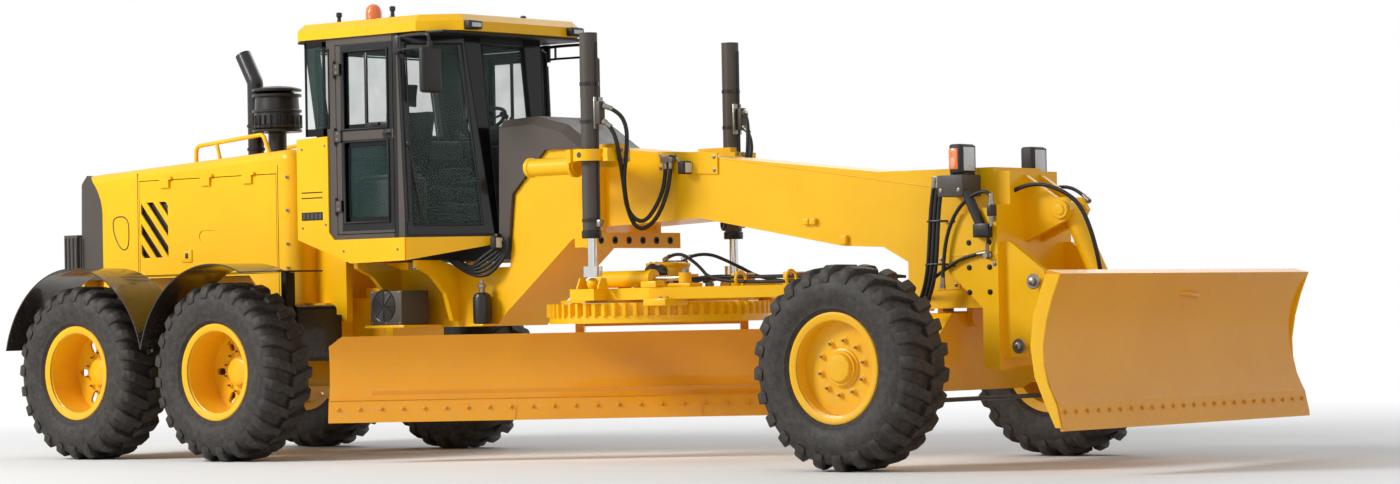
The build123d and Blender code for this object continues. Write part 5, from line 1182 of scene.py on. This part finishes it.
for tag, side in SIDES:
    out = side * 0.455
    for at in range(3):
        drop = 0.032 * at
        hose(f"nose_hose_{tag}_{at}", [spot(6.69 - drop, out, 1.86), spot(6.655 - drop, out, 1.70),
            spot(6.64 - drop, out, 1.50),
                                       spot(6.62 - drop, out, 1.28), spot(6.57 - drop, out * 0.97, 1.12),
                                       spot(6.50 - drop, out * 0.9, 1.04)],
             0.014, "front")
    for at, z in enumerate((1.30, 1.58)):
        block(f"hose_strap_{tag}_{at}", spot(6.545 + 0.02 * at, side * 0.272, z),
              spot(6.665 + 0.02 * at, side * 0.474, z + 0.012), "front", BLACK, 0.003)
    hose(f"nose_link_{tag}", [spot(6.40, side * 0.30, 1.11), spot(6.50, side * 0.42, 1.17),
                              spot(6.66, side * 0.44, 1.26), spot(6.84, side * 0.445, 1.355),
                              spot(7.0, side * 0.435, 1.37)], 0.012, "front")
    hose(f"nose_arc_{tag}", [spot(6.67, out, 1.16), spot(6.68, out, 1.34), spot(6.72, out, 1.52),
                             spot(6.80, out, 1.66), spot(6.92, out, 1.75),
                             spot(7.03, out, 1.77), spot(7.066, out, 1.73), spot(7.066, out, 1.69)], 0.013, "front")
    hose(f"nose_drop_{tag}", [spot(7.066, out, 1.60), spot(7.06, out, 1.53), spot(7.03, out, 1.46),
                              spot(7.02, side * 0.442, 1.37)], 0.010, "front")
    block(f"hose_tee_{tag}", spot(7.045, side * 0.42, 1.605), spot(7.084, side * 0.478, 1.68), "front", BLACK,
          0.006)
    tube(f"nose_strut_{tag}", (spot(6.86, side * 0.44, 1.77), spot(6.99, side * 0.44, 1.51)), 0.034, "front", BLACK,
         straight=True)
    block(f"nose_strut_foot_{tag}", spot(6.93, side * 0.42, 1.47), spot(7.05, side * 0.475, 1.56), "front", BLACK,
          0.006)
    turned(f"hose_port_{tag}", ((0, 0.026), (0.02, 0.026), (0.024, 0.018), (0.05, 0.018)),
           spot(7.02, side * 0.42, 1.355), (0, side, 0), "front", ZINC, 20)
hose("mast_arc_right", [spot(6.88, -0.22, 1.60), spot(6.96, -0.22, 1.70), spot(7.10, -0.21, 1.79),
                        spot(7.28, -0.20, 1.815), spot(7.46, -0.19, 1.75),
                        spot(7.57, -0.18, 1.66), spot(7.64, -0.16, 1.48), spot(7.67, -0.13, 1.28),
                        spot(7.66, -0.09, 1.17)], 0.014, "front")
hose("mast_arc_left", [spot(6.88, 0.16, 1.62), spot(6.98, 0.17, 1.74), spot(7.12, 0.18, 1.80),
                       spot(7.30, 0.17, 1.79), spot(7.42, 0.13, 1.70)], 0.012, "front")

# %% [markdown]
# The nose carries covers held by bolts, tabs and a weld line on the beam, and the pins of the
# blade's frame, each with a zinc retainer.

# %% Nose covers, pins and plates
for tag, side in SIDES:
    face = side * 0.271
    corners = [spot(6.50, face, 1.14), spot(6.68, face, 1.14), spot(6.68, face, 1.37), spot(6.50, face, 1.37)]
    cover(f"nose_cover_{tag}", corners if side < 0 else corners[::-1], 0.006, "front", YELLOW)
    bolts(f"nose_cover_bolts_{tag}", [spot(x, face + side * 0.006, z) for x in (6.53, 6.65) for z in (1.17, 1.34)],
          (0, side, 0), 0.009, "front")
    for number, (x, z) in enumerate(((7.24, 0.77), (7.36, 1.18))):
        pin = spot(x, side * 0.420, z)
        turned(f"mast_pin_{tag}_{number}", ((0, 0.048), (0.008, 0.050), (0.014, 0.046), (0.014, 0.026),
            (0.030, 0.024), (0.034, 0.016)), pin,
               (0, side, 0), "front", ZINC, 30)
    for number, x in enumerate((5.40, 5.46, 5.72)):
        block(f"beam_tab_{tag}_{number}", spot(x, side * 0.262, 1.46 if number == 2 else 1.60),
              spot(x + 0.05, side * 0.30, 1.52 if number == 2 else 1.64),
              "front", YELLOW, 0.005)
    tube(f"beam_weld_{tag}", [spot(x, side * 0.2715, z) for x,
                              z in ((4.70, 2.075), (5.60, 1.945), (6.30, 1.84), (6.60, 1.80))], 0.004, "front",
                              YELLOW)

# %% [markdown]
# The circle hangs under a drawbar. On top sits the gearbox that turns it, with its motor, and a side
# cylinder with a chrome rod. Shoe covers hold the toothed ring up at its edge.

# %% Circle drive, side cylinder, shoe covers
DRIVE = spot(3.96, 0, 0)
CIRCLE = spot(3.88, 0, 0)
turned("drive_flange", ((0, 0.150), (0.006, 0.185), (0.028, 0.185), (0.034, 0.152)), DRIVE + UP * 1.20, UP,
       "drawbar",
       YELLOW, 40)
bolts("drive_flange_bolts", [DRIVE + Vector((0.168 * cos(a * pi / 6), 0.168 * sin(a * pi / 6),
    1.228)) for a in range(12)], UP, 0.010,
      "drawbar")
turned("drive_cover", ((0, 0.152), (0.010, 0.158), (0.026, 0.158), (0.034, 0.145), (0.040, 0.09)),
       DRIVE + UP * 1.345, UP,
       "drawbar", YELLOW, 40)
block("drive_motor", DRIVE + Vector((-0.07, 0.02, 1.375)), DRIVE + Vector((0.07, 0.14, 1.395)), "drawbar", BLACK,
      0.006)
turned("drive_motor_body", ((0, 0.055), (0.012, 0.062), (0.10, 0.062), (0.12, 0.045), (0.135, 0.045)),
       DRIVE + Vector((0.04, -0.12, 1.31)),
       (0, -1, 0), "drawbar", BLACK, 28)
bolts("drive_cover_bolts", [DRIVE + Vector((0.12 * cos(a * pi / 4), 0.12 * sin(a * pi / 4),
    1.379)) for a in range(8)], UP, 0.009, "drawbar")

turned("circle_skirt", ((0, 0.770), (0, 0.782), (0.050, 0.782), (0.052, 0.776), (0.050, 0.770), (0, 0.770)),
       CIRCLE + UP * 0.962,
       UP, "circle", YELLOW, 96, ring=True)
SIDE_BARREL = (spot(3.72, -0.46, 1.265), spot(4.18, -0.46, 1.265))
turned("side_barrel", ((0, 0.050), (0.012, 0.058), (0.46, 0.058), (0.47, 0.064), (0.50, 0.064), (0.505, 0.040)),
       SIDE_BARREL[0], (1, 0, 0),
       "drawbar", YELLOW, 32)
tube("side_rod", (spot(4.20, -0.46, 1.265), spot(4.46, -0.46, 1.265)), 0.020, "drawbar", CHROME, straight=True,
     sides=6)
turned("side_eye", ((-0.035, 0.026), (-0.035, 0.044), (0.035, 0.044), (0.035, 0.026)), spot(4.50, -0.46, 1.265), UP,
       "drawbar", YELLOW, 28)
block("side_eye_seat", spot(4.40, -0.53, 1.20), spot(4.60, -0.39, 1.228), "drawbar", YELLOW, 0.006)
turned("side_eye_pin", ((0, 0.024), (0.10, 0.024), (0.108, 0.018)), spot(4.50, -0.46, 1.22), UP, "drawbar", ZINC,
       24)
for at, x in enumerate((3.70, 4.06)):
    block(f"side_barrel_stand_{at}", spot(x, -0.50, 1.20), spot(x + 0.05, -0.42, 1.25), "drawbar", YELLOW, 0.005)
for tag, side in SIDES:
    block(f"shoe_cover_{tag}", spot(4.36, side * 0.50, 1.075), spot(4.56, side * 0.745, 1.125), "drawbar", YELLOW,
          0.008)
    block(f"shoe_box_{tag}", spot(4.30, side * 0.60, 1.20), spot(4.44, side * 0.70, 1.245), "drawbar", YELLOW,
          0.008)
    bolts(f"shoe_bolts_{tag}", [spot(x, side * y, 1.128) for x in (4.48, 4.54) for y in (0.56, 0.70)], UP, 0.011,
          "drawbar")
    for at, x in enumerate((3.83, 4.02)):
        corners = [spot(x, side * 0.72, 1.20), spot(x, side * 0.835, 1.20), spot(x, side * 0.80, 1.275),
                   spot(x, side * 0.745, 1.275)]
        cover(f"ball_cheek_{tag}_{at}", corners if side > 0 else corners[::-1], 0.014, "drawbar", YELLOW)
    hose(f"drawbar_hose_{tag}", [spot(4.02, side * 0.10, 1.40), spot(4.16, side * 0.14, 1.46),
                                 spot(4.40, side * 0.20, 1.36), spot(4.60, side * 0.30, 1.235),
                                 spot(5.20, side * 0.27, 1.222), spot(5.75, side * 0.14, 1.225)], 0.012, "drawbar")
    hose(f"shift_hose_{tag}", [spot(3.78, side * 0.16, 1.24), spot(3.66, side * 0.30, 1.275),
                               spot(3.60, side * 0.48, 1.262), spot(3.70, side * 0.56, 1.22)],
         0.012, "drawbar")
block("valve_block", spot(4.70, -0.10, 1.20), spot(4.72, 0.10, 1.24), "drawbar", YELLOW, 0.004)
for at, x in enumerate((4.86, 5.30)):
    ring = [spot(x, -0.30 + 0.055 * cos(a * pi / 6), 1.245 + 0.055 * sin(a * pi / 6)) for a in range(12)]
    tube(f"hose_guide_{at}", ring, 0.010, "drawbar", YELLOW, closed=True)

# %% [markdown]
# Five hoses lie side by side along the drawbar under three clamps, with four ports at their rear end.

# %% Hose lines along the drawbar
for at, y in enumerate((-0.09, -0.045, 0.0, 0.045, 0.09)):
    lift = 0.012 * (at % 2)
    tube(f"drawbar_line_{at}", [spot(4.12, y * 2.2, 1.24), spot(4.34, y * 1.8, 1.27 + lift), spot(4.80, y, 1.262),
                                spot(5.30, y, 1.258 + lift),
                                spot(5.80, y * 0.9, 1.262), spot(5.98, y * 0.8, 1.238)], 0.011, "drawbar", HOSE)
for at, x in enumerate((4.62, 5.08, 5.62)):
    block(f"line_clamp_{at}", spot(x, -0.115, 1.20), spot(x + 0.035, 0.115, 1.292), "drawbar", YELLOW, 0.006)
for at, (x, y) in enumerate(((4.16, 0.20), (4.16, -0.20), (4.24, 0.13), (4.24, -0.13))):
    turned(f"line_port_{at}", ((0, 0.024), (0.03, 0.024), (0.034, 0.018), (0.06, 0.017)), spot(x, y, 1.198), UP,
           "drawbar", ZINC, 18)

# %% [markdown]
# Both blades wear bolted cutting edges: separate strips of hard steel along the foot, with a row of
# plough bolts. The front blade also has a lifting hook welded to its face.

# %% Cutting edge bolts
BLADE_ANGLE = radians(-51)
turn_blade = Matrix.Translation(CIRCLE) @ Matrix.Rotation(BLADE_ANGLE, 4, "Z")


def on_blade(ahead, along, z):
    """A point on the blade: ahead of its datum, along it towards its left end, and up."""
    return turn_blade @ Vector((ahead - 0.06, along, z))


def blade_way(ahead, up):
    return turn_blade.to_3x3() @ Vector((ahead, 0, up))


edge_bolts = [on_blade(-0.028, -2.30 + 0.153 * at, 0.388) for at in range(26)]
# The blade bolts, seams and hook share the blades' yellow with its painted shade.
bolts("edge_bolts", edge_bolts, blade_way(0.86, 0.5), 0.011, "moldboard", SHADED_BLADE_YELLOW)
for at, along in enumerate((-2.36, -1.04, 0.28)):
    seam = [on_blade(-0.0285, along + 1.315, 0.400), on_blade(0.000, along + 1.315, 0.296)]
    tube(f"edge_joint_{at}", seam, 0.002, "moldboard", SHADED_BLADE_YELLOW, straight=True)
tube("edge_line", [on_blade(-0.049, along, 0.447) for along in (-2.364, 1.592)], 0.003, "moldboard", SHADED_BLADE_YELLOW,
     straight=True)
dozer_low, dozer_high = box("dozer_blade")
print("dozer blade", dozer_low, dozer_high)
face_x = dozer_high.x
bolts("dozer_edge_bolts", [Vector((face_x - 0.030, -1.38 + 0.12 * at, 0.385)) for at in range(24)], (0.97, 0, 0.2),
      0.010, "dozer_blade", SHADED_BLADE_YELLOW)
hook = [Vector((face_x - 0.165, -0.04, 1.085)), Vector((face_x - 0.085, -0.03, 1.090)),
        Vector((face_x - 0.075, 0.10, 1.080)),
        Vector((face_x - 0.085, 0.23, 1.070)), Vector((face_x - 0.165, 0.24, 1.065))]
tube("lifting_hook", hook, 0.018, "dozer_blade", SHADED_BLADE_YELLOW)
for tag, side in SIDES:
    for number, (x, z) in enumerate(((7.86, 0.62), (7.98, 1.03))):
        turned(f"blade_pin_{tag}_{number}", ((0, 0.040), (0.008, 0.046), (0.016, 0.040), (0.016, 0.022),
            (0.028, 0.020)),
               spot(x, side * 0.345, z), (0, side, 0), "dozer_blade", ZINC, 26)

# %% [markdown]
# The front blade's ends are closed by shaped plates. Each starts as a flat circle of points, which
# are laid on the outline before it is extruded to the plate's thickness.

# %% End plates of the front blade
END_OUTLINE = ((8.262, 1.213), (8.20, 1.07), (8.155, 0.93), (8.128, 0.78), (8.132, 0.66), (8.158, 0.55),
               (8.215, 0.43), (8.248, 0.29),
               (8.205, 0.29), (8.13, 0.44), (8.06, 0.60), (8.035, 0.78), (8.06, 0.97), (8.12, 1.13), (8.158, 1.215))


def side_plate(name, outline, inner, outer, body, finish, edge=0.002):
    """A plate of the outline's (ahead, up) points, standing between two distances across."""
    bpy.ops.object.select_all(action="DESELECT")
    bpy.ops.mesh.primitive_circle_add(vertices=len(outline), fill_type="NGON")
    made = bpy.context.object
    for vertex, (x, z) in zip(made.data.vertices, outline):
        vertex.co = spot(x, inner, z)
    edit_all()
    bpy.ops.mesh.extrude_region_move(TRANSFORM_OT_translate={"value": (0, outer - inner, 0)})
    bpy.ops.mesh.select_all(action="SELECT")
    bpy.ops.mesh.normals_make_consistent(inside=False)
    bpy.ops.mesh.bevel(offset=edge, segments=1, affect="EDGES")
    leave()
    return hand_over(name, body, finish)


for tag, side in SIDES:
    side_plate(f"dozer_end_{tag}", END_OUTLINE, side * 1.4405, side * 1.4525, "dozer_blade", YELLOW)

# %% [markdown]
# The mast on the nose carries a field of mounting bolts, and the cylinder's cheeks a big pin with a
# keeper plate on each side.

# %% Mast bolts and cylinder pin
for tag, side in SIDES:
    face = side * 0.421
    bolts(f"mast_plugs_{tag}", [spot(x, face, z) for x in (6.86, 7.02) for z in (0.98 + 0.14, 1.28, 1.44)],
          (0, side, 0), 0.013, "front", BLACK)
    bolts(f"mast_bolts_{tag}", [spot(x, face, z) for x in (6.74, 7.06) for z in (1.30, 1.585)], (0, side, 0), 0.011,
          "front")
    tube(f"mast_weld_{tag}", [spot(x, side * 0.4205, z) for x, z in ((6.72, 1.36), (7.08, 1.36))], 0.004, "front",
         YELLOW, straight=True)
    pin = spot(7.37, side * 0.112, 1.64)
    turned(f"cheek_boss_{tag}", ((0, 0.062), (0.010, 0.062), (0.018, 0.056), (0.018, 0.038), (0.026, 0.034),
                                 (0.028, 0.020)), pin, (0, side, 0),
           "front", YELLOW, 32)
turned("dozer_gland", ((0, 0.050), (0.006, 0.070), (0.05, 0.070), (0.056, 0.048)), spot(7.645, 0, 1.10),
       (-0.447, 0, 0.894), "dozer_barrel",
       BLACK, 30)

# %% [markdown]
# Under the cab stand a heater box with a round fan screen, the air dryer's black cylinder
# with its valves, and bundles of hoses that cross from the rear frame to the front.

# %% Heater box, dryer and bundles
block("heater_box", spot(1.66, -0.66, 0.975), spot(1.98, -0.375, 1.225), "front", GREY, 0.008)
for at in range(9):
    radius = 0.016 + 0.0115 * at
    ring = [spot(1.80 + radius * cos(a * pi / 8), -0.661, 1.115 + radius * sin(a * pi / 8)) for a in range(16)]
    tube(f"fan_ring_{at}", ring, 0.0028, "front", BLACK, closed=True, sides=1)
for at in range(4):
    a = at * pi / 4
    reach = Vector((0.11 * cos(a), 0, 0.11 * sin(a)))
    middle_at = spot(1.80, -0.663, 1.115)
    tube(f"fan_bar_{at}", (middle_at - reach, middle_at + reach), 0.0035, "front", BLACK, straight=True, sides=1)
turned("fan_screen", ((0, 0.118), (0.002, 0.121), (0.006, 0.118), (0.003, 0.112), (0, 0.118)),
       spot(1.80, -0.658, 1.115), (0, -1, 0), "front", BLACK,
       40, ring=True)
bolts("heater_bolts", [spot(x, -0.661, z) for x in (1.68, 1.82, 1.96) for z in (0.99, 1.21)], (0, -1, 0), 0.007,
      "front")
block("heater_tray", spot(1.62, -0.68, 0.955), spot(2.02, -0.27, 0.975), "front", YELLOW, 0.004)
turned("dryer", ((0, 0.050), (0.01, 0.066), (0.05, 0.068), (0.19, 0.068), (0.215, 0.058), (0.23, 0.030)),
       spot(2.50, -0.36, 0.97), UP,
       "front", BLACK, 30)
turned("dryer_valve", ((0, 0.020), (0.03, 0.020), (0.034, 0.028), (0.06, 0.028), (0.064, 0.014), (0.09, 0.012)),
       spot(2.50, -0.36, 1.20),
       UP, "front", ZINC, 20)
block("dryer_shelf", spot(2.42, -0.44, 0.955), spot(2.58, -0.27, 0.972), "front", YELLOW, 0.004)
for at in range(5):
    lift = 0.035 * at
    tube(f"cab_bundle_{at}", [spot(2.24 + 0.02 * at, -0.42, 1.44), spot(2.34 + 0.02 * at, -0.40, 1.36),
                              spot(2.52, -0.36 - 0.01 * at, 1.30 + lift),
                              spot(2.66, -0.33, 1.40 + lift), spot(2.72, -0.30, 1.52 + 0.5 * lift)], 0.013, "front",
                              HOSE)
